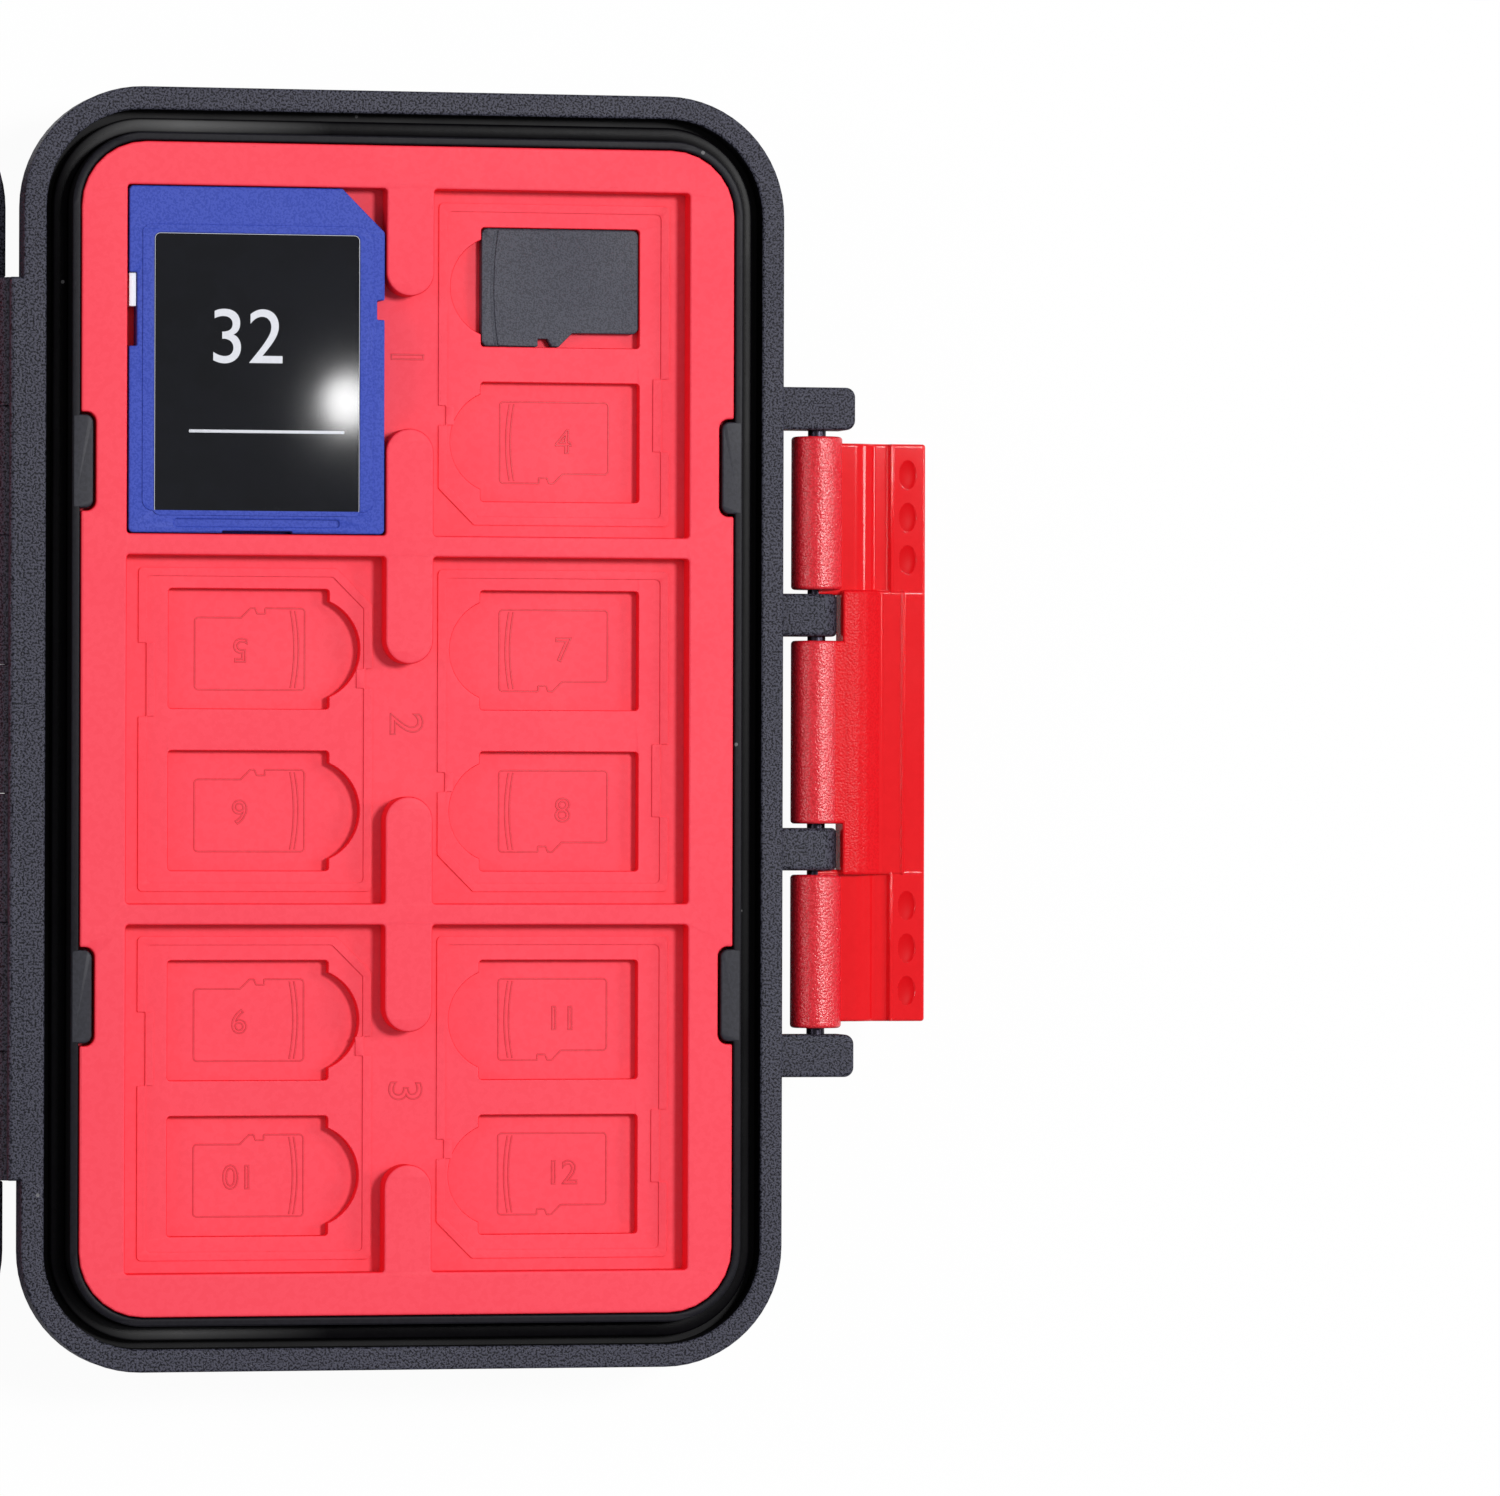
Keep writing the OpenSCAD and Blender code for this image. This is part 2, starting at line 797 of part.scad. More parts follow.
module sd_board() {
    color(board_color)
        in_sd_pocket()
            translate([0, -0.5, sd_rear_t])
                linear_extrude(sd_board_t)
                    round_rect(sd_board_w, sd_board_l, 0.5);
}

module sd_contacts() {
    color(gold_color)
        in_sd_pocket()
            translate([0, 0, sd_rear_t - sd_pad_t])
                linear_extrude(sd_pad_t)
                    sd_pad_places()
                        square([sd_pad_w, sd_pad_l], center = true);
}

module sd_label() {
    color(label_color)
        in_sd_pocket()
            translate([0, sd_label_y, sd_t - sd_label_t])
                linear_extrude(sd_label_t)
                    round_rect(sd_label_w, sd_label_l, 0.95);
}

module sd_lock_slider() {
    color(slider_color)
        in_sd_pocket()
            translate([-sd_w / 2 + sd_lock_depth / 2, sd_lock_y - sd_slider_l / 2 - 0.05, sd_t / 2])
                cube([sd_lock_depth - 0.06, sd_slider_l, sd_t - 0.7], center = true);
}

// Puts the small card in the upper pocket of the right column, its narrow end to the right
module in_micro_pocket() {
    translate([
        col_pitch / 2 + micro_shift,
        row_pitch + micro_pitch_end / 2,
        base_top - sd_depth - micro_depth + card_gap
    ])
        children();
}

// Plan of a small card with its notch and its narrow end
module micro_plan() {
    narrow = 1.3;
    notch = 0.75;
    difference() {
        round_rect(micro_l, micro_w, 0.5);
        polygon([
            [micro_l / 2 + over, -micro_w / 2 - over],
            [1.2 - narrow, -micro_w / 2 - over],
            [1.2 - narrow, -micro_w / 2],
            [1.2, -micro_w / 2 + narrow],
            [micro_l / 2 + over, -micro_w / 2 + narrow]
        ]);
        polygon([
            [-2.1, -micro_w / 2 - over],
            [-2.1, -micro_w / 2 + notch],
            [-1.2, -micro_w / 2 + notch],
            [-0.7, -micro_w / 2 - over]
        ]);
    }
}

module micro_pad_places() {
    for (i = [0:micro_pad_count - 1])
        translate([micro_l / 2 - 2.3, (i - (micro_pad_count - 1) / 2) * micro_pad_pitch + 0.55])
            square([micro_pad_l, micro_pad_w], center = true);
}

module microsd_body() {
    color(card_dark)
        in_micro_pocket()
            difference() {
                linear_extrude(micro_t)
                    micro_plan();
                translate([0, 0, -over])
                    linear_extrude(over + micro_pad_t)
                        micro_pad_places();
            }
}

module microsd_contacts() {
    color(gold_color)
        in_micro_pocket()
            linear_extrude(micro_pad_t)
                micro_pad_places();
}

base_shell();
base_seal();
base_insert_face();
base_insert_cells();
base_insert_back();
hinge_pin();
latch_pin();
latch();
lid_shell();
lid_insert_face();
lid_insert_cells();
lid_insert_back();
sd_front_shell();
sd_rear_shell();
sd_board();
sd_contacts();
sd_lock_slider();
sd_label();
microsd_body();
microsd_contacts();
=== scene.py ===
from math import cos, hypot, pi, radians, sin, tan

import bmesh
import bpy
from mathutils import Matrix, Vector


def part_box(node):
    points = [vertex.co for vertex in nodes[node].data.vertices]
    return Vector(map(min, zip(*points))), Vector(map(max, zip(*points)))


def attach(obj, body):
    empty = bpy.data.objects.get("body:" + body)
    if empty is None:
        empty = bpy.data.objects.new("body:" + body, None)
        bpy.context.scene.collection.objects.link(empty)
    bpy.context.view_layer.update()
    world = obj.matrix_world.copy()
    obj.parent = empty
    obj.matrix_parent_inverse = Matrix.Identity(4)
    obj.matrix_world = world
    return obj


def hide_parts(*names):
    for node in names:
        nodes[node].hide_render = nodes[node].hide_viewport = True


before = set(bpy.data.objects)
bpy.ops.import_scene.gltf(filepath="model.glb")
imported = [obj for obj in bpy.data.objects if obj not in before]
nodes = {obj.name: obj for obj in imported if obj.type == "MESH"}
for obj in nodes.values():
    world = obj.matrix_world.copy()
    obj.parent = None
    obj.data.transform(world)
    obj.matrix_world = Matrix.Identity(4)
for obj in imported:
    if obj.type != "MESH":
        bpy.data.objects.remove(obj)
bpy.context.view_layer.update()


def mm(value):
    return value / 1000


def point(x, y, z):
    return Vector((x, y, z)) / 1000


def srgb(r, g, b):
    def linear(c):
        c /= 255
        return c / 12.92 if c <= 0.04045 else ((c + 0.055) / 1.055) ** 2.4
    return (linear(r), linear(g), linear(b), 1.0)


def addObject(name, data):
    obj = bpy.data.objects.new(name, data)
    bpy.context.collection.objects.link(obj)
    return obj


def makeObject(name, bm, materials):
    for face in bm.faces:
        face.smooth = True
    mesh = bpy.data.meshes.new(name)
    bm.to_mesh(mesh)
    bm.free()
    for mat in materials:
        mesh.materials.append(finishes[mat])
    return addObject(name, mesh)


# Where things lie, in millimetres, as the solids say
plan = {
    "caseWidth": 72.0, "caseLength": 118.8, "cornerRadius": 11.2,
    "lidX": -72.9, "rimZ": 14.0, "baseTop": 15.45, "lidTop": 7.25, "lidRim": 8.95,
    "columnPitch": 28.8, "rowPitch": 34.14, "pocketDepth": 2.35, "smallDepth": 1.25,
    "pitchEnd": 14.42, "pitchMiddle": 15.0, "latchX": 39.75, "latchZ": 11.5,
}
print("frame loaded,", len(nodes), "nodes")


# Node helpers: what a node is given is either a value for its input or an output to link
def freshTree(owner):
    owner.use_nodes = True
    owner.node_tree.nodes.clear()
    return owner.node_tree


def feed(tree, socket, value):
    if isinstance(value, (int, float, tuple)):
        socket.default_value = value
    else:
        tree.links.new(value, socket)


def mathNode(tree, operation, *values):
    node = tree.nodes.new("ShaderNodeMath")
    node.operation = operation
    for socket, value in zip(node.inputs, values):
        feed(tree, socket, value)
    return node.outputs[0]


def addNode(tree, kind, given):
    node = tree.nodes.new("ShaderNode" + kind)
    for label, value in given.items():
        feed(tree, node.inputs[label], value)
    return node.outputs


def noiseNode(tree, vector, scale, detail, roughness):
    given = {"Vector": vector, "Scale": scale, "Detail": detail, "Roughness": roughness}
    return addNode(tree, "TexNoise", given)["Fac"]


def rangeNode(tree, value, low, high, toLow=0.0, toHigh=1.0):
    given = {"Value": value, "From Min": low, "From Max": high, "To Min": toLow, "To Max": toHigh}
    return addNode(tree, "MapRange", given)["Result"]


def mixColour(tree, fac, a, b):
    node = tree.nodes.new("ShaderNodeMix")
    node.data_type = "RGBA"
    for index, value in ((0, fac), (6, a), (7, b)):
        feed(tree, node.inputs[index], value)
    return node.outputs[2]


# Shows the second surface where the share is one, the first where it is nought
def mixSurfaces(tree, share, first, second, outKind):
    mix = tree.nodes.new("ShaderNodeMixShader")
    for socket, value in zip(mix.inputs, (share, first, second)):
        tree.links.new(value, socket)
    addNode(tree, outKind, {"Surface": mix.outputs[0]})


# Camera, light and floor: the eye in millimetres, lamps as power, size and place in metres
studio = {
    "eye": (-171.2, -6.2, 885.05), "tilt": 13.18, "turn": 0.30, "roll": -0.156,
    "lens": 229.2, "sensor": 36.0, "clip": (0.01, 20.0),
    "lamps": {
        "keyLamp": (6.7, 0.2, (0.38, 0.19, 1.0)),
        "rightLamp": (3.4, 0.34, (0.98, 0.2, 0.72)),
        "leftLamp": (1.9, 0.35, (-1.0, 0.15, 0.6)),
        "glintLamp": (0.0155, 0.012, (0.2576, 0.0881, 1.39)),
    },
    "skyColour": srgb(246, 247, 250), "skyStrength": 0.31,
    "floorColour": srgb(244, 244, 244), "floorSize": 3.0, "floorZ": -0.0002, "floorGlow": 0.96,
}


def placeCamera():
    data = bpy.data.cameras.new("photoCamera")
    data.lens = studio["lens"]
    data.sensor_fit = "HORIZONTAL"
    data.sensor_width = studio["sensor"]
    data.clip_start, data.clip_end = studio["clip"]
    cam = addObject("photoCamera", data)
    t, p, r = (radians(studio[k]) for k in ("tilt", "turn", "roll"))
    back = Vector((-sin(t) * cos(p), -sin(p), cos(t) * cos(p)))   # from the case to the eye
    right = Vector((0, 1, 0)).cross(back).normalized()
    up = back.cross(right)
    across = right * cos(r) - up * sin(r)
    upward = right * sin(r) + up * cos(r)
    turned = Matrix((across, upward, back)).transposed().to_4x4()
    cam.matrix_world = Matrix.Translation(point(*studio["eye"])) @ turned
    bpy.context.scene.camera = cam


def placeAreaLight(name, power, size, place):
    data = bpy.data.lights.new(name, "AREA")
    data.energy = power
    data.shape = "DISK"
    data.size = size
    lamp = addObject(name, data)
    lamp.location = place
    lamp.rotation_euler = Vector(place).to_track_quat("Z", "Y").to_euler()
    lamp.visible_camera = False


def makeFloor():
    bm = bmesh.new()
    bmesh.ops.create_grid(bm, x_segments=1, y_segments=1, size=studio["floorSize"] / 2)
    floor = makeObject("studioFloor", bm, [])
    floor.location.z = studio["floorZ"]
    mat = bpy.data.materials.new("paleFloor")
    tree = freshTree(mat)
    paint = addNode(tree, "BsdfDiffuse", {"Color": studio["floorColour"]})
    glow = addNode(tree, "Emission", {})
    path = addNode(tree, "LightPath", {})
    seen = mathNode(tree, "MAXIMUM", path["Is Camera Ray"], path["Is Transmission Ray"])
    share = mathNode(tree, "MULTIPLY", seen, studio["floorGlow"])   # leaves a faint shadow
    mixSurfaces(tree, share, paint[0], glow[0], "OutputMaterial")
    floor.data.materials.append(mat)


def makeSky():
    world = bpy.data.worlds.new("paleRoom")
    tree = freshTree(world)
    given = {"Color": studio["skyColour"], "Strength": studio["skyStrength"]}
    room, white = addNode(tree, "Background", given), addNode(tree, "Background", {})
    path = addNode(tree, "LightPath", {})
    mixSurfaces(tree, path["Is Camera Ray"], room[0], white[0], "OutputWorld")
    bpy.context.scene.world = world


placeCamera()
for lampName, (power, size, place) in studio["lamps"].items():
    placeAreaLight(lampName, power, size, place)
makeFloor()
makeSky()
bpy.context.scene.view_settings.view_transform = "Standard"
print("camera, light and floor placed")


# Shared effects for the finishes, each made from a place and named numbers
def startGroup(name, numbers, outputs):
    group = bpy.data.node_groups.new(name, "ShaderNodeTree")
    group.interface.new_socket("Vector", in_out="INPUT", socket_type="NodeSocketVector")
    for label, value in numbers.items():
        socket = group.interface.new_socket(label, in_out="INPUT", socket_type="NodeSocketFloat")
        socket.default_value = value
    for label in outputs:
        group.interface.new_socket(label, in_out="OUTPUT", socket_type="NodeSocketFloat")
    given = group.nodes.new("NodeGroupInput").outputs
    return group, given, group.nodes.new("NodeGroupOutput").inputs


# Fine pits and bumps of a spark-eroded mould, with speckled brightness
sparkShape = {
    "fineNoise": (2.0, 0.55), "coarseNoise": (1.0, 0.5), "coarseScale": 0.5,
    "fineShare": 0.92, "coarseShare": 0.08, "low": 0.4, "high": 0.62,
    "wormMiddle": 0.54, "wormWidth": 0.055, "wormShare": 0.45, "pitShare": 0.55, "middle": 0.4,
}


def makeSparkGroup():
    k = sparkShape
    group, given, made = startGroup(
        "sparkTexture", {"Scale": 2600.0, "Speckle": 0.5}, ("Height", "Tone"))

    def both(a, aShare, b, bShare):
        return mathNode(group, "ADD", mathNode(group, "MULTIPLY", a, aShare),
                        mathNode(group, "MULTIPLY", b, bShare))

    fine = noiseNode(group, given["Vector"], given["Scale"], *k["fineNoise"])
    coarseScale = mathNode(group, "MULTIPLY", given["Scale"], k["coarseScale"])
    coarse = noiseNode(group, given["Vector"], coarseScale, *k["coarseNoise"])
    height = both(fine, k["fineShare"], coarse, k["coarseShare"])
    away = mathNode(group, "ABSOLUTE", mathNode(group, "SUBTRACT", fine, k["wormMiddle"]))
    worms = rangeNode(group, away, 0.0, k["wormWidth"], 1.0, 0.0)
    pits = rangeNode(group, height, k["low"], k["high"])
    speckled = both(pits, k["pitShare"], worms, k["wormShare"])
    swing = mathNode(group, "SUBTRACT", speckled, k["middle"])
    scaled = mathNode(group, "MULTIPLY", swing, given["Speckle"])
    group.links.new(height, made["Height"])
    group.links.new(mathNode(group, "ADD", scaled, k["middle"]), made["Tone"])
    return group


# Slow cloudy change of tone, as in a moulding's flow and handling
cloudShape = {"noise": (3.0, 0.55), "range": (0.3, 0.7)}


def makeCloudGroup():
    group, given, made = startGroup("mouldClouding", {"Size": 90.0}, ("Tone",))
    wide = noiseNode(group, given["Vector"], given["Size"], *cloudShape["noise"])
    group.links.new(rangeNode(group, wide, *cloudShape["range"]), made["Tone"])
    return group


# Sparse small specks of dust, with a radius as a share of a cell
dustRadius = 0.16


def makeDustGroup():
    group, given, made = startGroup("dustSpecks", {"Scale": 900.0, "Amount": 0.02}, ("Mask",))
    cells = addNode(group, "TexVoronoi", {"Vector": given["Vector"], "Scale": given["Scale"]})
    near = mathNode(group, "LESS_THAN", cells["Distance"], dustRadius)
    chance = addNode(group, "SeparateColor", {"Color": cells["Color"]})["Red"]
    few = mathNode(group, "LESS_THAN", chance, given["Amount"])
    group.links.new(mathNode(group, "MULTIPLY", near, few), made["Mask"])
    return group


# A glossy stretch near the corners on the hinge's side, in metres
sheenShape = {"Middle": -0.021, "Reach": 0.014, "Start": 0.05, "Fade": 0.006}


def makeSheenGroup():
    group, given, made = startGroup("cornerSheen", sheenShape, ("Mask",))
    place = addNode(group, "SeparateXYZ", {"Vector": given["Vector"]})
    away = mathNode(group, "ABSOLUTE", mathNode(group, "SUBTRACT", place["X"], given["Middle"]))
    across = rangeNode(group, away, 0.0, given["Reach"], 1.0, 0.0)
    far = mathNode(group, "ABSOLUTE", place["Y"])
    beyond = mathNode(group, "SUBTRACT", far, given["Start"])
    along = rangeNode(group, beyond, 0.0, given["Fade"])
    group.links.new(mathNode(group, "MULTIPLY", across, along), made["Mask"])
    return group


groups = {"spark": makeSparkGroup(), "cloud": makeCloudGroup(), "dust": makeDustGroup(),
          "sheen": makeSheenGroup()}


def placeGroup(tree, kind, vector, **values):
    node = tree.nodes.new("ShaderNodeGroup")
    node.node_tree = groups[kind]
    tree.links.new(vector, node.inputs["Vector"])
    for label, value in values.items():
        feed(tree, node.inputs[label], value)
    return node.outputs


# What a finish takes where it says nothing else, and the dust on all of them
usualLook = {"speckle": 0.5, "rough": (0.4, 0.5), "bump": 0.2, "relief": 0.02, "clouding": 0.12,
             "dust": 0.01, "metal": 0.0, "specular": 0.5}
plasticIor, dustColour, dustCover = 1.46, srgb(205, 203, 205), 0.22


# One moulded or metal finish: tone between dark and light, fine texture, clouding and dust
def mouldedFinish(name, given):
    look = {**usualLook, "haze": given["light"], **given}
    mat = bpy.data.materials.new(name)
    mat.use_nodes = True
    tree = mat.node_tree
    shader = tree.nodes["Principled BSDF"].inputs
    coords = addNode(tree, "TexCoord", {})["Object"]
    spark = placeGroup(tree, "spark", coords, Scale=look["grain"], Speckle=look["speckle"])
    cloud = placeGroup(tree, "cloud", coords)["Tone"]
    dust = placeGroup(tree, "dust", coords, Amount=look["dust"])["Mask"]
    tone = mixColour(tree, spark["Tone"], srgb(*look["dark"]), srgb(*look["light"]))
    cloudCover = mathNode(tree, "MULTIPLY", cloud, look["clouding"])
    cloudy = mixColour(tree, cloudCover, tone, srgb(*look["haze"]))
    dusty = mixColour(tree, mathNode(tree, "MULTIPLY", dust, dustCover), cloudy, dustColour)
    grain = {"Strength": look["bump"], "Distance": mm(look["relief"]), "Height": spark["Height"]}
    surface = {
        "Base Color": dusty, "Roughness": rangeNode(tree, cloud, 0.0, 1.0, *look["rough"]),
        "Normal": addNode(tree, "Bump", grain)["Normal"], "Metallic": look["metal"],
        "IOR": plasticIor, "Specular IOR Level": look["specular"],
    }
    if "sheen" in look:
        sheen = placeGroup(tree, "sheen", coords)["Mask"]
        surface["Coat Weight"] = mathNode(tree, "MULTIPLY", sheen, look["sheen"])
        surface["Coat Roughness"] = look["coatRough"]
    for label, value in surface.items():
        feed(tree, shader[label], value)
    return mat


softRed = {"grain": 1500, "speckle": 0.4, "rough": (0.5, 0.62), "relief": 0.03,
           "clouding": 0.2, "dust": 0.0}
glossRed = {"grain": 900, "speckle": 0.35, "bump": 0.05, "dust": 0.0}
sparkRed = {"rough": (0.24, 0.3), "clouding": 0.1, "dust": 0.0}
looks = {
    "rimPlastic": {
        "dark": (20, 20, 27), "light": (94, 94, 109), "haze": (52, 52, 63), "grain": 5000,
        "speckle": 1.0, "rough": (0.38, 0.46), "bump": 1.0, "relief": 0.07, "clouding": 0.08,
        "specular": 0.14, "dust": 0.003},
    "shellPlastic": {
        "dark": (34, 34, 41), "light": (50, 50, 59), "grain": 2600, "speckle": 0.6,
        "bump": 0.25, "specular": 0.22, "dust": 0.003},
    "wallPlastic": {
        "dark": (16, 15, 20), "light": (28, 27, 34), "grain": 2200, "rough": (0.34, 0.42),
        "specular": 0.1, "dust": 0.004},
    # Painted shade: the moat's faces are the rim's own moulding, painted near black for the shade
    # deep in the narrow groove
    "moatPaintedShade": {
        "dark": (8, 7, 9), "light": (15, 14, 17), "grain": 2200, "speckle": 0.4,
        "rough": (0.5, 0.6), "clouding": 0.1, "specular": 0.2},
    "sealRubber": {
        "dark": (6, 5, 7), "light": (12, 11, 14), "grain": 1800, "rough": (0.24, 0.32),
        "bump": 0.15, "clouding": 0.15, "specular": 0.05, "sheen": 1.0, "coatRough": 0.46,
        "dust": 0.006},
    "insertRubber": {
        **softRed, "dark": (247, 60, 78), "light": (254, 76, 94), "haze": (252, 80, 98),
        "specular": 0.3},
    # Painted shade: the insert's steep faces are the same rubber, painted a darker, deeper red for
    # the shade on pocket walls
    "insertWallsPaintedShade": {
        **softRed, "dark": (246, 22, 38), "light": (252, 36, 52), "specular": 0.2},
    # Painted shade: the sign lines and numbers are the insert's own rubber, painted darker for the
    # shade that fine moulded lines show
    "insertLinesPaintedShade": {
        **softRed, "dark": (214, 38, 56), "light": (234, 56, 74), "rough": (0.4, 0.5),
        "bump": 0.15, "relief": 0.02, "clouding": 0.12, "specular": 0.4},
    "latchSmooth": {
        **glossRed, "dark": (226, 18, 26), "light": (235, 25, 33), "rough": (0.06, 0.09),
        "specular": 0.42},
    "latchSpark": {
        **sparkRed, "dark": (214, 14, 24), "light": (240, 26, 36), "grain": 4600,
        "speckle": 0.7, "bump": 0.9, "relief": 0.05, "specular": 0.1},
    "barrelSpark": {
        **sparkRed, "dark": (206, 18, 32), "light": (246, 44, 60), "grain": 4400,
        "speckle": 1.0, "bump": 1.0, "relief": 0.08, "specular": 0.8},
    # Painted shade: the dimples are the latch's own smooth moulding, painted darker for the shade
    # in these hollows
    "dimplePaintedShade": {
        **glossRed, "dark": (210, 12, 20), "light": (218, 18, 26), "rough": (0.34, 0.4),
        "clouding": 0.1, "specular": 0.04},
    "darkSteel": {
        "dark": (40, 37, 46), "light": (68, 65, 76), "grain": 900, "rough": (0.26, 0.38),
        "relief": 0.01, "metal": 1.0},
    "cardBlue": {
        "dark": (46, 66, 165), "light": (70, 88, 190), "grain": 4600, "speckle": 0.9,
        "rough": (0.42, 0.52), "bump": 0.6, "relief": 0.03, "specular": 0.16, "dust": 0.002},
    "labelGloss": {
        "dark": (12, 13, 17), "light": (18, 19, 25), "haze": (26, 28, 36), "grain": 400,
        "rough": (0.034, 0.042), "bump": 0.01, "relief": 0.001, "clouding": 0.2,
        "dust": 0.001},
    "labelInk": {
        "dark": (204, 206, 214), "light": (222, 224, 230), "grain": 3000, "speckle": 0.4,
        "rough": (0.3, 0.4), "bump": 0.1, "relief": 0.01},
    "sliderWhite": {
        "dark": (232, 236, 246), "light": (244, 247, 254), "grain": 2500, "bump": 0.15},
    "boardGreen": {
        "dark": (22, 84, 44), "light": (38, 108, 60), "grain": 1600, "speckle": 0.6,
        "rough": (0.3, 0.4), "bump": 0.1, "relief": 0.01},
    "goldPads": {
        "dark": (208, 168, 84), "light": (232, 196, 112), "grain": 2400,
        "rough": (0.22, 0.32), "bump": 0.12, "relief": 0.01, "metal": 1.0},
    "smallCardGrey": {
        "dark": (48, 49, 58), "light": (88, 89, 101), "haze": (72, 70, 82), "grain": 6500,
        "speckle": 0.8, "bump": 0.8, "relief": 0.03, "specular": 0.2},
}
finishes = {name: mouldedFinish(name, look) for name, look in looks.items()}
print("finishes made:", len(finishes))


# Mesh helpers, with lengths in millimetres and angles in degrees
meshing = {"sharpAngle": 35, "evenWeight": 100, "arcStep": 6, "fewestSteps": 4, "weld": 0.002}


def arcPoints(x, y, r, start, end, count=1):
    angles = [radians(start + (end - start) * k / count) for k in range(count + 1)]
    return [(x + r * cos(a), y + r * sin(a)) for a in angles]


# Flat outlines: corners are (x, y, radius), arcs are (x, y, radius, from, to)
def traced(items, steps=7):
    def endOf(item, index):
        return Vector(item[:2] if len(item) == 3 else arcPoints(*item)[index])

    points = []
    for i, item in enumerate(items):
        if len(item) == 5:
            count = int(abs(item[4] - item[3]) / meshing["arcStep"])
            points += arcPoints(*item, max(meshing["fewestSteps"], count))
            continue
        corner, r = Vector(item[:2]), item[2]
        if r <= 0:
            points.append(tuple(corner))
            continue
        before = endOf(items[i - 1], -1) - corner
        after = endOf(items[(i + 1) % len(items)], 0) - corner
        half = before.angle(after) / 2
        toBefore, toAfter = before.normalized(), after.normalized()
        centre = corner + (toBefore + toAfter).normalized() * r / sin(half)
        first = corner + toBefore * r / tan(half) - centre
        turn = first.angle_signed(corner + toAfter * r / tan(half) - centre)
        for k in range(steps + 1):
            points.append(tuple(centre + Matrix.Rotation(-turn * k / steps, 2) @ first))
    return points


def roundedRect(w, l, r, x=0, y=0):
    left, right, near, far = x - w / 2, x + w / 2, y - l / 2, y + l / 2
    return [(left, near, r), (right, near, r), (right, far, r), (left, far, r)]


def placedPoints(points, x, y, turned=False):
    k = -1 if turned else 1
    return [(x + k * px, y + k * py) for px, py in points]


def addSpline(data, path, closed, z=0):
    spline = data.splines.new("POLY")
    spline.points.add(len(path) - 1)
    for dot, (x, y) in zip(spline.points, path):
        dot.co = (mm(x), mm(y), mm(z), 1)
    spline.use_cyclic_u = closed


def moveMesh(bm, x, y, z):
    bmesh.ops.translate(bm, verts=bm.verts, vec=point(x, y, z))


def turnMesh(bm, angle, axis):
    around = Matrix.Rotation(radians(angle), 3, axis)
    bmesh.ops.rotate(bm, verts=bm.verts, cent=(0, 0, 0), matrix=around)


# The mesh that an object shows; the object itself goes
def takenMesh(obj):
    bpy.context.view_layer.update()
    shown = obj.evaluated_get(bpy.context.evaluated_depsgraph_get())
    mesh = bpy.data.meshes.new_from_object(shown)
    bpy.data.objects.remove(obj)
    bm = bmesh.new()
    bm.from_mesh(mesh)
    bpy.data.meshes.remove(mesh)
    return bm


# The mesh of a curve or a text, turned and moved to its place
def drawnMesh(data, place, turn=0, weld=meshing["weld"]):
    bm = takenMesh(addObject(data.name, data))
    bmesh.ops.remove_doubles(bm, verts=bm.verts, dist=mm(weld))
    turnMesh(bm, turn, "Z")
    moveMesh(bm, *place)
    bmesh.ops.recalc_face_normals(bm, faces=bm.faces)
    return bm


# Flat piece with rounded upper and lower edges; outlines after the first are its holes
def flatPiece(name, outlines, low, high, rounding, steps=2):
    data = bpy.data.curves.new(name + "Outline", "CURVE")
    data.dimensions = "2D"
    data.fill_mode = "BOTH"
    for outline in outlines:
        addSpline(data, outline, True)
    data.extrude = mm((high - low) / 2 - rounding)
    data.bevel_depth = mm(rounding)
    data.bevel_resolution = steps
    data.offset = -mm(rounding)
    return drawnMesh(data, (0, 0, (high + low) / 2))


# Straight piece along the hinge: an outline in x and z drawn from one y to another
def alongY(name, outline, start, end, rounding, steps=2):
    bm = flatPiece(name, [outline], start, end, rounding, steps)
    middle = (start + end) / 2
    moveMesh(bm, 0, 0, -middle)
    turnMesh(bm, 90, "X")
    moveMesh(bm, 0, middle, 0)
    return bm


# Thin raised lines, drawn as beads half sunk in the surface
def lineBeads(paths, z, radius):
    data = bpy.data.curves.new("lineBeads", "CURVE")
    data.dimensions = "3D"
    for path, closed in paths:
        addSpline(data, path, closed, z)
    data.bevel_depth = mm(radius)
    data.bevel_resolution = 1
    data.use_fill_caps = True
    return drawnMesh(data, (0, 0, 0))


# A plain number, as outline beads or as a thin solid, centred on its place
def numberMesh(text, size, place, turn=0, outline=0.0, thick=0.02):
    data = bpy.data.curves.new("number", "FONT")
    data.body = text
    data.size = mm(size)
    data.align_x, data.align_y = "CENTER", "CENTER"
    if outline:
        data.fill_mode = "NONE"
        data.bevel_depth = mm(outline)
        data.bevel_resolution = 1
    else:
        data.extrude = mm(thick / 2)
    return drawnMesh(data, place, turn, meshing["weld"] / 2)


def joined(meshes):
    whole = bmesh.new()
    for part in meshes:
        scrap = bpy.data.meshes.new("scrap")
        part.to_mesh(scrap)
        part.free()
        whole.from_mesh(scrap)
        bpy.data.meshes.remove(scrap)
    return whole


def painted(bm, index, chosen=None):
    for face in bm.faces:
        if chosen is None or chosen(face.calc_center_median() * 1000, face.normal):
            face.material_index = index
    return bm


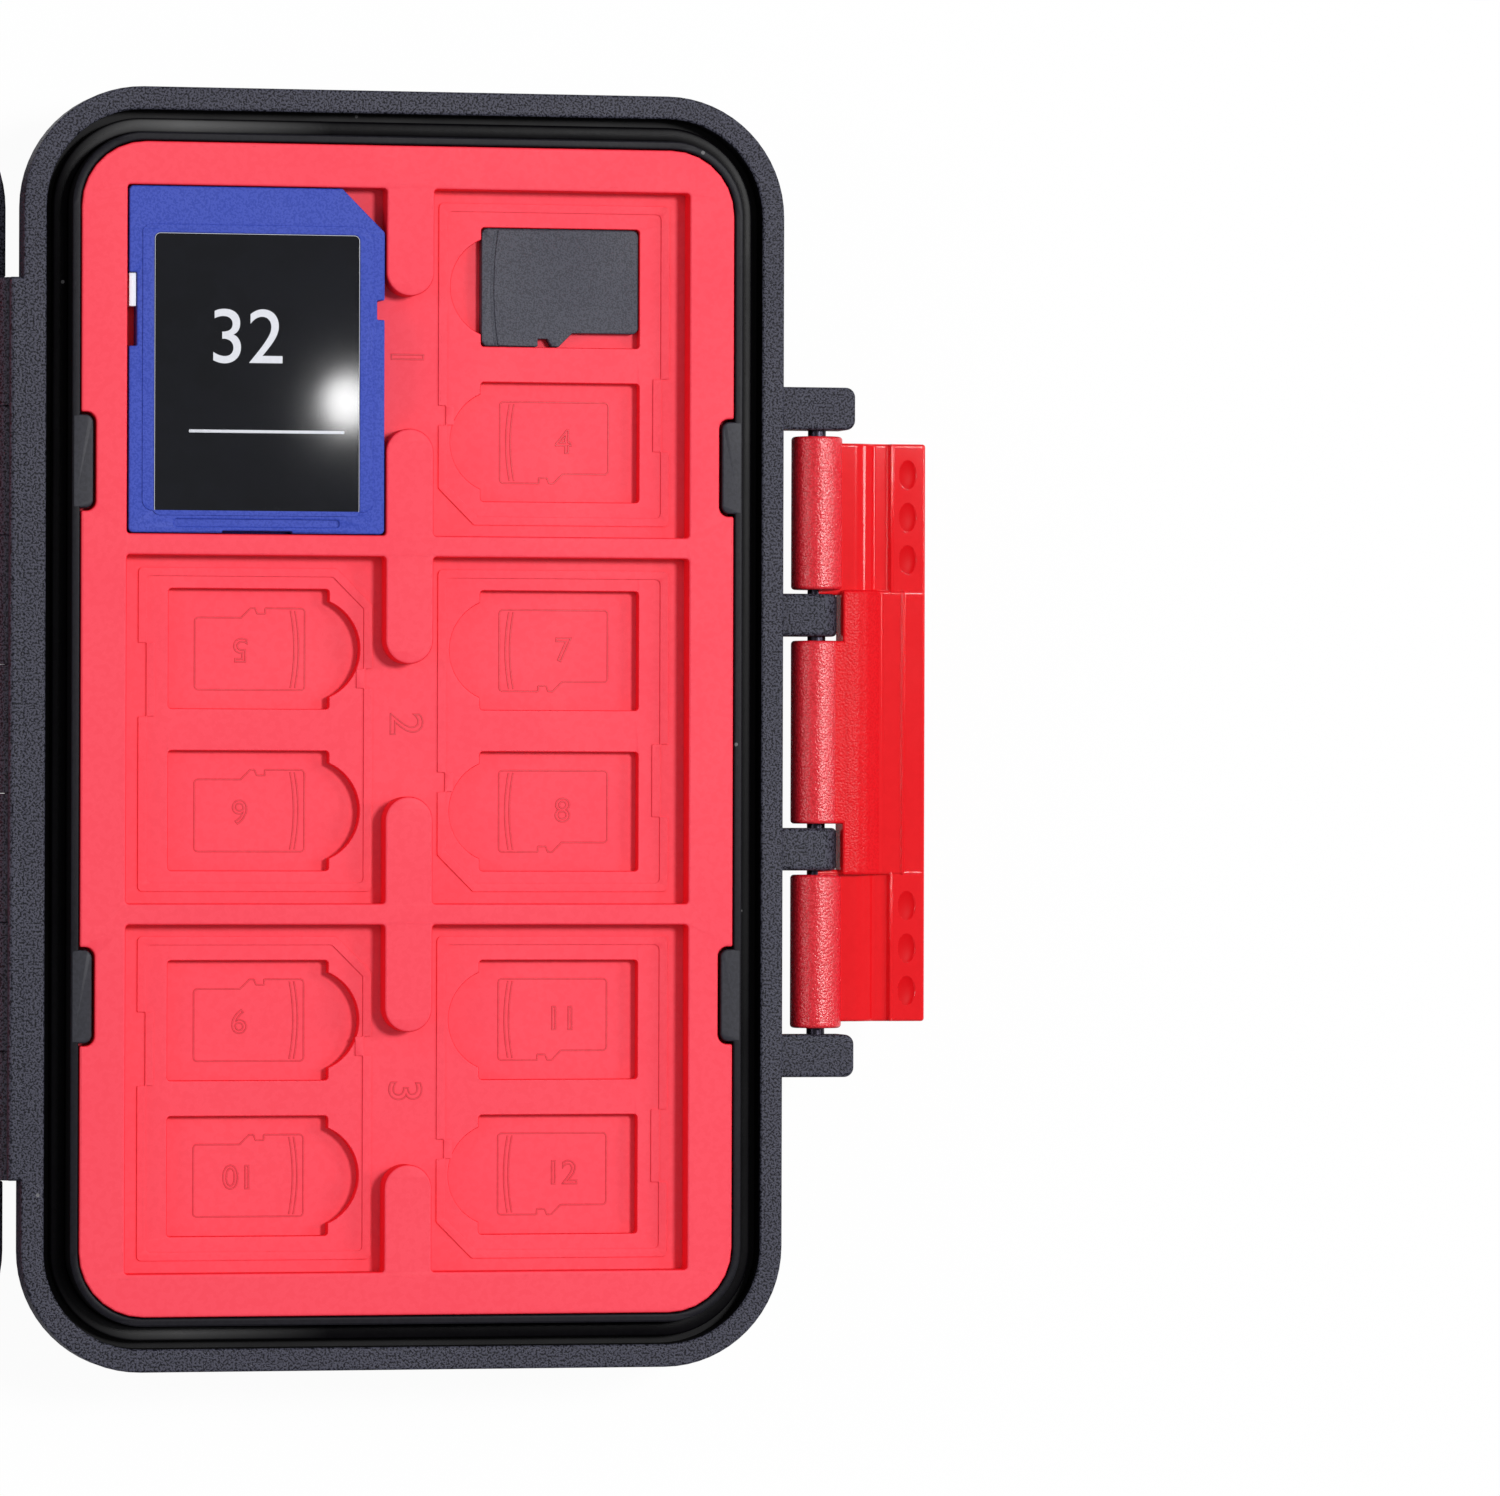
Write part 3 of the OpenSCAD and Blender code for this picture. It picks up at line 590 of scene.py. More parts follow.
def finishedPiece(name, bm, materials, body, slotName, *hidden):
    for edge in bm.edges:
        if edge.calc_face_angle(0.0) > radians(meshing["sharpAngle"]):
            edge.smooth = False
    piece = makeObject(name, bm, materials)
    evened = piece.modifiers.new("evenShading", "WEIGHTED_NORMAL")
    evened.keep_sharp = True
    evened.weight = meshing["evenWeight"]
    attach(piece, body)
    if hidden:
        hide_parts(*hidden)
    return piece


def insetRect(inset, x=0):
    width, length = plan["caseWidth"] - 2 * inset, plan["caseLength"] - 2 * inset
    edge = roundedRect(width, length, plan["cornerRadius"] - inset)
    return placedPoints(traced(edge, 16), x, 0)


# How far a place lies inside the edge of the base, seen from above
def insetOf(place):
    r = plan["cornerRadius"]
    beyondX = max(abs(place.x) - plan["caseWidth"] / 2 + r, 0)
    beyondY = max(abs(place.y) - plan["caseLength"] / 2 + r, 0)
    return r - hypot(beyondX, beyondY)


# Shells: the base lies flat and open, the lid is the same plan turned over
shell = {
    "bodyInset": 1.5, "footChamfer": 2.0, "footLap": 0.05, "sideRound": 0.05, "moatFloor": 11.6,
    "rim": 2.15, "moat": 4.32, "wall": 5.07, "wallRound": 0.13, "rimRound": 0.24,
    "flangeLow": 11.0, "flangeHigh": 13.4, "flangeRound": 0.04,
    "notchDepth": 1.3, "notchGap": 0.25, "paintReach": 0.1, "wallPaint": 0.3,
    "hingeX": -36.45, "hingeZ": 11.5, "hingeR": 1.6, "hingeTurn": 352,
    "hingeHalf": 41.5, "hingeCount": 7,
    "knucklePitch": 11.9, "knuckleLength": 11.6, "knuckleSpread": 0.13, "knuckleRound": 0.14,
    "stripX": -37.2, "stripInner": -35.2, "stripLow": 13.2, "stripDrop": 0.02,
    "stripRound": 0.15, "stripCorner": 0.4, "rootX": -34.2, "rootTop": 13.6, "rootBack": 0.6,
    "rootLap": 0.02, "rootCorner": 0.2,
    "latchRoot": 34.0, "latchKnuckleR": 1.9, "knuckleHalf": 2.0, "innerAt": 11.0,
    "innerRound": 0.42, "earAt": 30.4, "earEnd": 43.05, "earCorner": 0.9, "earRound": 0.3,
    "tabRoot": 31.62, "tabReach": 29.7, "tabY": 24.65, "tabHalf": 4.3, "tabCorner": 0.75,
    "tabThick": 1.6, "tabRise": 0.01, "tabRound": 0.16,
}
# The third of these finishes is the moat's painted shade
shellPaints = ["rimPlastic", "shellPlastic", "moatPaintedShade", "wallPlastic"]


def knuckleSpans(first):
    for i in range(first, shell["hingeCount"], 2):
        y = -shell["hingeHalf"] + i * shell["knucklePitch"]
        yield y - shell["knuckleSpread"], y + shell["knuckleLength"] + shell["knuckleSpread"]


def hingeKnuckles(first, root):
    barrel = (shell["hingeX"], shell["hingeZ"], shell["hingeR"], 0, shell["hingeTurn"])
    for start, end in knuckleSpans(first):
        for items in ([barrel], root):
            yield alongY("knuckle", traced(items), start, end, shell["knuckleRound"])


def tabPlates(x, top):
    h, r = shell["tabHalf"], shell["tabCorner"]
    low, high = top - shell["tabThick"], top + shell["tabRise"]
    for sx in (-1, 1):
        for sy in (-1, 1):
            out, tip, c = shell["tabRoot"] * sx, shell["tabReach"] * sx, sy * shell["tabY"]
            corners = [(out, c - h, 0), (tip, c - h, r), (tip, c + h, r), (out, c + h, 0)]
            edge = placedPoints(traced(corners), x, 0)
            yield painted(flatPiece("tab", [edge], low, high, shell["tabRound"]), 1)


# The lower part of the rim, which leaves room for the lid's knuckles
def notchedRim():
    items = roundedRect(plan["caseWidth"], plan["caseLength"], plan["cornerRadius"])
    left = items[0][0]
    deep, gap = left + shell["notchDepth"], shell["notchGap"]
    for start, end in reversed(list(knuckleSpans(1))):
        items += [(left, end + gap, 0), (deep, end + gap, 0),
                  (deep, start - gap, 0), (left, start - gap, 0)]
    return traced(items, 16)


# The floor of a half: a plate whose lower edge is chamfered
def footPlate(x):
    chamfer, lap = shell["footChamfer"], shell["footLap"]
    bm = flatPiece("foot", [insetRect(shell["bodyInset"], x)], 0, 2 * (chamfer + lap), chamfer, 0)
    geometry = list(bm.verts) + list(bm.edges) + list(bm.faces)
    cut = bmesh.ops.bisect_plane(bm, geom=geometry, plane_co=point(0, 0, chamfer + lap),
                                 plane_no=(0, 0, 1), clear_outer=True)
    rimEdges = [g for g in cut["geom_cut"] if isinstance(g, bmesh.types.BMEdge)]
    bmesh.ops.triangle_fill(bm, edges=rimEdges, use_beauty=True)
    bmesh.ops.recalc_face_normals(bm, faces=bm.faces)
    return bm


def makeBaseShell():
    k, rimTop, top, near = shell, plan["rimZ"], plan["baseTop"], shell["paintReach"]
    side = flatPiece("side", [insetRect(k["bodyInset"]), insetRect(k["wall"])],
                     k["footChamfer"], k["moatFloor"], k["sideRound"])
    # The side's top, which is the moat floor, takes the moat's painted shade
    parts = [footPlate(0), painted(side, 2, lambda c, n: c.z > k["moatFloor"] - near)]
    flange = (k["flangeLow"], k["flangeHigh"], k["flangeRound"], notchedRim())
    upper = (k["stripLow"], rimTop, k["rimRound"], insetRect(0))
    for low, high, rounding, edge in (flange, upper):
        ring = flatPiece("rim", [edge, insetRect(k["rim"])], low, high, rounding, 3)
        # The rim's faces down in the moat take the moat's painted shade
        parts.append(painted(ring, 2, lambda c, n: n.z < 0.3 and c.z < rimTop - near
                             and insetOf(c) > k["rim"] - near))
    wall = flatPiece("wall", [insetRect(k["moat"]), insetRect(k["wall"])],
                     k["footChamfer"], top, k["wallRound"])
    # The wall's faces below its top take the moat's painted shade
    parts.append(painted(painted(wall, 3), 2, lambda c, n: c.z < top - k["wallPaint"]))
    parts += list(tabPlates(0, top))
    left, right, low, high = k["stripX"], k["stripInner"], k["stripLow"], rimTop - k["stripDrop"]
    strip = [(left, low, k["stripRound"]), (right, low, 0), (right, high, 0),
             (left, high, k["stripCorner"])]
    parts.append(alongY("strip", traced(strip), -k["hingeHalf"], k["hingeHalf"], k["stripRound"]))
    x, z, low = k["hingeX"], k["hingeZ"], k["hingeZ"] - k["hingeR"]
    left, right, high = k["stripX"] + k["rootLap"], k["rootX"], k["rootTop"]
    root = [(x - k["rootBack"], z, 0), (x, low, 0), (right, low, 0), (right, high, 0),
            (left, high, k["rootCorner"]), (left, z, 0)]
    parts += list(hingeKnuckles(0, root))
    x, z, r, h = plan["latchX"], plan["latchZ"], k["latchKnuckleR"], k["knuckleHalf"]
    left, right, c = k["latchRoot"], k["earEnd"], k["earCorner"]
    inner = traced([(left, z - r, 0), (x, z - r, 0), (x, z, r, -90, 90), (x, z + r, 0),
                    (left, z + r, 0)])
    for way in (-1, 1):
        low, high = way * k["earAt"] - h, way * k["earAt"] + h
        ear = traced([(left, low, 0), (right, low, c), (right, high, c), (left, high, 0)])
        parts.append(flatPiece("ear", [ear], z - r, z + r, k["earRound"], 3))
        low, high = way * k["innerAt"] - h, way * k["innerAt"] + h
        parts.append(alongY("innerKnuckle", inner, low, high, k["innerRound"], 3))
    finishedPiece("baseShellMoulding", joined(parts), shellPaints, "base", "shell", "base_shell")


lidShape = {
    "sideInner": 3.97, "rimInner": 2.9, "rimThick": 3.0, "tongueOuter": 2.92, "tongueLow": 1.0,
    "tongueRise": 0.95, "tongueRound": 0.2, "ledgeOuter": 3.9, "ledgeLow": 2.0,
    "edgeX": -36.9, "cutDepth": 1.5, "cutSlack": 0.3, "cutCorner": 0.2,
    "armStep": 0.65, "armX": -38.9, "armLow": 7.0, "armHigh": 8.7, "armBend": 0.3, "armCorner": 0.5,
    "beadOutline": [(-106.9, 4.6, 0), (-106.9, 6.4, 0), (-111.55, 6.4, 0),
                    (-111.55, 5.5, 0.9, 90, 270), (-111.55, 4.6, 0)],
    "beadStart": 13.8, "beadEnd": 26.8, "beadRound": 0.25,
}


def makeLidShell():
    k, own, x, rimTop = shell, lidShape, plan["lidX"], plan["lidRim"]

    def ring(name, outer, inner, low, high, rounding):
        return flatPiece(name, [insetRect(outer, x), insetRect(inner, x)], low, high, rounding)

    parts = [footPlate(x), ring("side", k["bodyInset"], own["sideInner"],
                                k["footChamfer"], rimTop, k["sideRound"])]
    left, right = x - plan["caseWidth"] / 2, own["edgeX"]
    r, l = plan["cornerRadius"], plan["caseLength"] / 2
    deep, cut, c = right - own["cutDepth"], k["hingeHalf"] + own["cutSlack"], own["cutCorner"]
    corners = [(left, -l, r), (right, -l, r), (right, -cut, c), (deep, -cut, c), (deep, cut, c),
               (right, cut, c), (right, l, r), (left, l, r)]
    parts.append(flatPiece("rim", [traced(corners, 16), insetRect(own["rimInner"], x)],
                           rimTop - own["rimThick"], rimTop, k["rimRound"], 3))
    tongue = ring("tongue", own["tongueOuter"], own["sideInner"], rimTop - own["tongueLow"],
                  rimTop + own["tongueRise"], own["tongueRound"])
    ledge = ring("ledge", own["ledgeOuter"], k["wall"], own["ledgeLow"], plan["lidTop"],
                 k["wallRound"])
    parts += [painted(tongue, 3), painted(ledge, 3)]
    parts += list(tabPlates(x, plan["lidTop"]))
    hinge, z, root = k["hingeX"] + k["hingeR"], k["hingeZ"], own["armX"]
    low, high = own["armLow"], own["armHigh"]
    arm = [(hinge, z, 0), (hinge - own["armStep"], z, 0),
           (hinge - own["armStep"], high, own["armBend"]), (root, high, 0), (root, low, 0),
           (hinge, low, own["armCorner"])]
    parts += list(hingeKnuckles(1, arm))
    for way in (-1, 1):
        start, end = sorted((way * own["beadStart"], way * own["beadEnd"]))
        parts.append(alongY("bead", traced(own["beadOutline"]), start, end, own["beadRound"]))
    finishedPiece("lidShellMoulding", joined(parts), shellPaints, "lid", "shell", "lid_shell")


makeBaseShell()
makeLidShell()
print("shells made")


# Inserts: three soft layers with pockets cut through the upper two
insert = {
    "width": 61.68, "length": 108.48, "corner": 6.04, "topRound": 0.22, "cellRound": 0.12,
    "sheetRound": 0.1, "sheetThick": {"base": 2.4, "lid": 0.9}, "faceShadeSlope": 0.75, "cellShadeSlope": 0.9,
    "pocketHalfWidth": 12.15, "pocketHalfLength": 16.085, "bar": 2.25, "fingerGap": 6.15,
    "sharpCorner": 0.3, "tabY": 24.65, "tabHalf": 4.55, "tabReach": 29.45, "tabFoot": 0.2,
    "tabCorner": 0.9, "ridgeInset": 1.0, "ridgeWidth": 0.8, "ridgeShift": 0.3, "ridgeNotch": 0.1,
    "ridgeSunk": 0.12, "ridgeHeight": 0.15, "ridgeRound": 0.05,
    "smallPocket": [(-7.85, -5.55, 0.3), (7.25, -5.55, 0.3), (7.25, -4.408, 0),
                    (5.35, 0, 4.8, -66.6, 66.6), (7.25, 4.408, 0), (7.25, 5.55, 0.3),
                    (-7.85, 5.55, 0.3)],
    "lineRadius": 0.1, "lineSunk": 0.03, "coveredSunk": 0.075,
    "numberSize": 3.1, "numberShift": 0.9, "gapNumberSize": 4.4, "gapNumberShift": 0.6,
}
rows = (1, 0, -1)


def insertEdge(x):
    w, l, r = insert["width"] / 2, insert["length"] / 2, insert["corner"]
    y, h, t = insert["tabY"], insert["tabHalf"], insert["tabReach"]
    foot, tip = insert["tabFoot"], insert["tabCorner"]
    side = [(w, -l, r)]
    for c in (-y, y):
        side += [(w, c - h, foot), (t, c - h, tip), (t, c + h, tip), (w, c + h, foot)]
    side += [(w, l, r)]
    return placedPoints(traced(side + [(-a, -b, c) for a, b, c in side]), x, 0)


# One row's pair of pockets with the finger gap that joins them
def rowWindow(x, y):
    w, l, b, r = (insert[k] for k in ("pocketHalfWidth", "pocketHalfLength", "bar", "sharpCorner"))
    far, gap = plan["columnPitch"] / 2 + w, insert["fingerGap"] + b
    items = [(far, -l, r), (far, l, r), (b, l, r), (b, gap, 0), (0, gap, b, 0, -180),
             (-b, gap, 0), (-b, l, r), (-far, l, r), (-far, -l, r), (-b, -l, r),
             (-b, -gap, 0), (0, -gap, b, 180, 0), (b, -gap, 0), (b, -l, r)]
    return placedPoints(traced(items, 4), x, y)


# Edge of a full-size card, drawn in by an inset: one corner is cut, both sides have a notch
cardPlan = {
    "halfWidth": 12, "halfLength": 16, "corner": 0.45, "cut": 4, "cutShare": 0.6,
    "cutCorner": 0.3, "notch": (3.9, 5.7, 0.7), "slide": (1.2, 8, 0.75),
}


def cardEdge(inset, r=0.15):
    k = cardPlan
    w, l, c = k["halfWidth"] - inset, k["halfLength"] - inset, k["corner"]
    cut, bend = k["cut"] - inset * k["cutShare"], k["cutCorner"]
    (low, high, deep), (start, end, sunk) = k["notch"], k["slide"]
    return [(-w, -l, c), (w, -l, c), (w, low, r), (w - deep, low, r), (w - deep, high, r),
            (w, high, r), (w, l - cut, bend), (w - cut, l, bend), (-w, l, c), (-w, end, r),
            (-w + sunk, end, r), (-w + sunk, start, r), (-w, start, r)]


def pocketPlaces():
    for row in rows:
        for side in (-1, 1):
            yield side, row, side * plan["columnPitch"] / 2, row * plan["rowPitch"], side > 0


def cellPlaces():
    for side, row, x, y, turned in pocketPlaces():
        pitch = plan["pitchMiddle"] if row == 0 else plan["pitchEnd"]
        for s in (1, -1):
            yield side, row, s, x, y + s * pitch / 2, turned


# A shallow bow across a small card
def bowLine(x, depth, reach):
    steps = [reach * (i / 6 - 1) for i in range(13)]
    return [(x - depth * (1 - (v / reach) ** 2), v) for v in steps]


# The raised sign in a small pocket: the outline of a small card, drawn smaller
sign = {
    "scale": 0.69, "bowX": -4.25, "bowDepth": 0.35, "bowReach": 3.6, "bowPitch": 0.42,
    "edge": [(-7.5, -5.5, 0.5), (-2.1, -5.5, 0.1), (-2.1, -4.75, 0.1), (-1.0, -4.75, 0.1),
             (-0.7, -5.5, 0.1), (-0.1, -5.5, 0.1), (1.2, -4.2, 0.1), (7.5, -4.2, 0.5),
             (7.5, 5.5, 0.5), (-7.5, 5.5, 0.5)],
}


def signLines(x, y, turned):
    edge = traced([tuple(a * sign["scale"] for a in corner) for corner in sign["edge"]], 4)
    lines = [(placedPoints(edge, x, y, turned), True)]
    for shift in (0.0, sign["bowPitch"]):
        bow = bowLine(sign["bowX"] + shift, sign["bowDepth"], sign["bowReach"])
        lines.append((placedPoints(bow, x, y, turned), False))
    return lines


def makeInsert(half, x, top):
    k, paints = insert, ["insertRubber", "insertWallsPaintedShade"]
    floor = top - plan["pocketDepth"]
    small = floor - plan["smallDepth"]
    windows = [rowWindow(x, row * plan["rowPitch"]) for row in rows]
    face = flatPiece("face", [insertEdge(x)] + windows, floor, top, k["topRound"], 3)
    # Steep faces of the face layer take the painted shade of the walls
    painted(face, 1, lambda c, n: abs(n.z) < k["faceShadeSlope"])
    finishedPiece(half + "InsertFace", face, paints, half, "insert", half + "_insert_face")
    plate = placedPoints(traced(roundedRect(k["width"], k["length"], k["corner"]), 12), x, 0)
    holes = [placedPoints(traced(k["smallPocket"], 4), x + cx, cy, turned)
             for side, row, s, cx, cy, turned in cellPlaces()]
    cells = flatPiece("cells", [plate] + holes, small, floor, k["cellRound"])
    # Steep faces of the cell layer take the same painted shade
    layers = [painted(cells, 1, lambda c, n: abs(n.z) < k["cellShadeSlope"])]
    for side, row, cx, cy, turned in pocketPlaces():
        middle = x + cx - side * k["ridgeShift"]
        ring = [placedPoints(traced(cardEdge(inset, k["ridgeNotch"]), 3), middle, cy, turned)
                for inset in (k["ridgeInset"], k["ridgeInset"] + k["ridgeWidth"])]
        layers.append(flatPiece("ridge", ring, floor - k["ridgeSunk"], floor + k["ridgeHeight"],
                                k["ridgeRound"], 1))
    finishedPiece(half + "InsertCells", joined(layers), paints, half, "insert",
                  half + "_insert_cells")
    sheet = flatPiece("sheet", [plate], small - k["sheetThick"][half], small, k["sheetRound"])
    finishedPiece(half + "InsertBack", sheet, paints[:1], half, "insert", half + "_insert_back")
    # The sign lines and numbers below take the darker painted shade
    marks, radius = [], k["lineRadius"]
    for count, (side, row, s, cx, cy, turned) in enumerate(cellPlaces(), 1):
        covered = half == "base" and (side, row, s) == (1, 1, 1)   # by the seated small card
        z = small - (k["coveredSunk"] if covered else k["lineSunk"])
        marks.append(lineBeads(signLines(x + cx, cy, not turned), z, radius))
        place = (x + cx + side * k["numberShift"], cy, z)
        angle = 0 if turned else 180
        marks.append(numberMesh(str(count), k["numberSize"], place, angle, radius))
    for count, row in enumerate(rows, 1):
        place = (x, row * plan["rowPitch"] + k["gapNumberShift"], floor - k["lineSunk"])
        marks.append(numberMesh(str(count), k["gapNumberSize"], place, -90, radius))
    finishedPiece(half + "InsertMarks", joined(marks), ["insertLinesPaintedShade"], half, "insert")


makeInsert("base", 0, plan["baseTop"])
makeInsert("lid", plan["lidX"], plan["lidTop"])
print("inserts made")


# Seal: a rubber cord with a slightly crowned top, lying in the moat
seal = {
    "outer": 2.87, "inner": 4.27, "floorZ": 11.6, "topZ": 13.0, "round": 0.2, "crown": 0.03,
    "bevelSteps": 4, "crownSteps": 10, "cornerSteps": 24, "weld": 0.004,
}


def sealSection():
    outer, inner, top, r, crown = (seal[k] for k in ("outer", "inner", "topZ", "round", "crown"))
    half, shoulder = (inner - outer) / 2, top - crown - r
    bevel = [i * pi / 2 / seal["bevelSteps"] for i in range(seal["bevelSteps"] + 1)]
    shape = [(outer, seal["floorZ"])]
    shape += [(outer + r + r * cos(pi - a), shoulder + r * sin(pi - a)) for a in bevel]
    for i in range(1, seal["crownSteps"]):
        t = 2 * i / seal["crownSteps"] - 1
        shape.append((outer + half + t * (half - r), top - crown * t * t))
    shape += [(inner - r + r * cos(pi / 2 - a), shoulder + r * sin(pi / 2 - a)) for a in bevel]
    return shape + [(inner, seal["floorZ"])]


# The section, as insets from the rim's edge and heights, carried round the case
def sealMesh():
    bm = bmesh.new()
    r = plan["cornerRadius"]
    hx, hy = plan["caseWidth"] / 2 - r, plan["caseLength"] / 2 - r
    corners = [(hx, hy), (-hx, hy), (-hx, -hy), (hx, -hy)]
    start = [bm.verts.new(point(hx + r - inset, hy, z)) for inset, z in sealSection()]
    section = [bm.edges.new((a, b)) for a, b in zip(start, start[1:] + start[:1])]
    geometry = start + section
    for (cx, cy), (nextX, nextY) in zip(corners, corners[1:] + corners[:1]):
        spun = bmesh.ops.spin(bm, geom=geometry, cent=point(cx, cy, 0), axis=(0, 0, 1),
                              angle=pi / 2, steps=seal["cornerSteps"])
        last = [g for g in spun["geom_last"] if isinstance(g, bmesh.types.BMEdge)]
        pulled = bmesh.ops.extrude_edge_only(bm, edges=last)["geom"]
        moved = [g for g in pulled if isinstance(g, bmesh.types.BMVert)]
        bmesh.ops.translate(bm, verts=moved, vec=point(nextX - cx, nextY - cy, 0))
        geometry = moved + [g for g in pulled if isinstance(g, bmesh.types.BMEdge)]
    bmesh.ops.remove_doubles(bm, verts=bm.verts, dist=mm(seal["weld"]))
    bmesh.ops.recalc_face_normals(bm, faces=bm.faces)
    return bm


sealRing = makeObject("sealRing", sealMesh(), ["sealRubber"])
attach(sealRing, "base")
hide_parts("base_seal")
print("seal made")


# Latch: barrels over the pin, a plate with a hollow, a lip with finger dimples at each end
latch = {
    "barrelR": 2.4, "barrelTurn": 354, "barrelRound": 0.32, "zoneStart": 13.4, "zoneEnd": 27.2,
    "zoneLap": 0.5, "zoneRound": 0.28, "middleRound": 0.3, "barrelEnd": 27.8, "midBarrelEnd": 8.6,
    "sparkEnd": 6.3, "sparkLow": 0.7, "dimpleX": 8.72, "dimpleY": 20.3, "dimplePitch": 4.0,
    "dimpleAxes": (1.42, 1.87, 0.355), "dimpleShift": -0.5, "dimpleZ": 0.684, "dimpleTilt": 10,
    "paintHalf": 1.0, "paintReach": 1.6, "paintHigh": 0.392, "paintSlope": -0.35,
    "endSection": [(0.0, -1.2, 0), (10.5, -1.2, 0.5), (10.5, 0.4, 0.35), (7.36, 0.4, 0.1),
                   (7.14, 0.6, 0.12), (6.78, 0.04, 0.3), (5.55, 0.06, 0.8), (4.45, 0.9, 3.0),
                   (0.0, 0.9, 0)],
    "midSection": [(2.15, -1.2, 0.2), (10.5, -1.2, 0.5), (10.5, 0.4, 0.35), (8.46, 0.4, 0.1),
                   (8.28, 0.75, 0.12), (8.06, 0.5, 0.25), (6.2, 0.5, 1.0), (4.2, 1.95, 3.0),
                   (2.15, 1.95, 0.2)],
    "rootSection": [(0, -1.2, 0), (2.7, -1.2, 0), (2.7, 1.95, 0), (0, 1.95, 0)],
}


def latchPiece(section, start, end, rounding):
    outline = placedPoints(traced(section, 8), plan["latchX"], plan["latchZ"])
    return alongY("latchPart", outline, *sorted((start, end)), rounding, 3)


# Scoops that slope down gently towards the lip and end in a steep edge
def dimpleCutter():
    bm = bmesh.new()
    fall = Matrix.Rotation(radians(latch["dimpleTilt"]), 3, "Y")
    x = plan["latchX"] + latch["dimpleX"] + latch["dimpleShift"]
    z = plan["latchZ"] + latch["dimpleZ"]
    for way in (-1, 1):
        for step in (-1, 0, 1):
            ball = bmesh.ops.create_uvsphere(bm, u_segments=48, v_segments=32, radius=1.0)["verts"]
            bmesh.ops.scale(bm, verts=ball, vec=[mm(a) for a in latch["dimpleAxes"]])
            bmesh.ops.rotate(bm, verts=ball, cent=(0, 0, 0), matrix=fall)
            y = way * latch["dimpleY"] + step * latch["dimplePitch"]
            bmesh.ops.translate(bm, verts=ball, vec=point(x, y, z))
    return makeObject("dimpleCutter", bm, [])


def makeLatch():
    k, x, z = latch, plan["latchX"], plan["latchZ"]
    start, end, middle = k["zoneStart"], k["zoneEnd"], k["midBarrelEnd"]
    ends = [latchPiece(k["endSection"], way * (start - k["zoneLap"]), way * end, k["zoneRound"])
            for way in (-1, 1)]
    solid, cutter = makeObject("endZones", joined(ends), []), dimpleCutter()
    carve = solid.modifiers.new("dimples", "BOOLEAN")
    carve.operation = "DIFFERENCE"
    carve.object = cutter
    carve.solver = "EXACT"
    carved = takenMesh(solid)
    bpy.data.objects.remove(cutter)
    dimpleX, reach = x + k["dimpleX"], k["dimplePitch"] + k["paintReach"]
    # Faces inside the dimples take the darker painted shade
    painted(carved, 3, lambda c, n: abs(c.x - dimpleX) < k["paintHalf"]
            and abs(abs(c.y) - k["dimpleY"]) < reach and z < c.z < z + k["paintHigh"]
            and n.x > k["paintSlope"])
    parts = [carved]
    for part in (latchPiece(k["midSection"], -start, start, k["middleRound"]),
                 latchPiece(k["rootSection"], -middle, middle, k["zoneRound"])):
        parts.append(painted(part, 1, lambda c, n: c.x < x + k["sparkEnd"]
                             and c.z > z + k["sparkLow"]))
    for low, high in ((-k["barrelEnd"], -start), (-middle, middle), (start, k["barrelEnd"])):
        barrel = latchPiece([(0, 0, k["barrelR"], 0, k["barrelTurn"])], low, high, k["barrelRound"])
        parts.append(painted(barrel, 2))
    paints = ["latchSmooth", "latchSpark", "barrelSpark", "dimplePaintedShade"]
    finishedPiece("latchMoulding", joined(parts), paints, "latch", "latch", "latch")


makeLatch()
print("latch made")


# Full-size card: two halves, a stepped frame round the label, the label and the slider
card = {
    "x": -14.4, "y": 34.14, "low": 13.27, "seam": 13.97, "high": 15.37, "edgeRound": 0.14,
    "grip": [(-3.3, -16, 0.08), (-3.2, -15.8, 0.08), (3.3, -15.8, 0.08), (3.4, -16, 0.08)],
    "slot": (15.5, 0.66, 0.3, 0, -15.06), "slotBed": (16, 1.1, 0.3, 0, -15.06),
    "bedLow": 0.4, "bedDrop": 0.17, "slotDrop": 0.2, "bedRound": 0.02,
    "frameRise": 0.09, "frameSunk": 0.15, "frameRound": 0.07,
    "frameEdge": [(-10.75, -14.0, 1.0), (10.95, -14.0, 1.0), (10.95, 3.2, 0.4), (10.5, 3.7, 0.4),
                  (10.5, 5.9, 0.4), (10.95, 6.4, 0.4), (10.95, 11.5, 0.4), (9.9, 12.5, 0.6),
                  (-10.2, 12.5, 0.9), (-10.75, 12.0, 0.4)],
    "labelFits": {"hole": (0.12, 0.6), "bed": (0.3, 0.6), "frame": (0.1, 0.55),
                  "label": (0, 0.5), "line": (-0.02, 0.5)},
    "labelWidth": 19.2, "labelLength": 25.9, "labelY": -1.3, "labelLow": 0.1, "labelDrop": 0.01,
    "labelRound": 0.035, "number": "32", "numberSize": 7.2, "numberX": -1.0, "numberY": 1.9,
    "numberDrop": 0.012, "lineRadius": 0.028, "lineDrop": 0.03,
    "bar": (14.6, 0.28, 0.1, 0.9, -6.6), "barLow": 0.02, "barDrop": 0.002, "barRound": 0.004,
    "sliderRound": 0.1, "sliderInset": 0.12, "sliderSunk": 0.05,
}


def cardPoints(items, k=card):
    return placedPoints(traced(items, 5), k["x"], k["y"])


def labelPoints(use):
    growth, radius = card["labelFits"][use]
    width, length = card["labelWidth"] + growth, card["labelLength"] + growth
    return cardPoints(roundedRect(width, length, radius, 0, card["labelY"]))


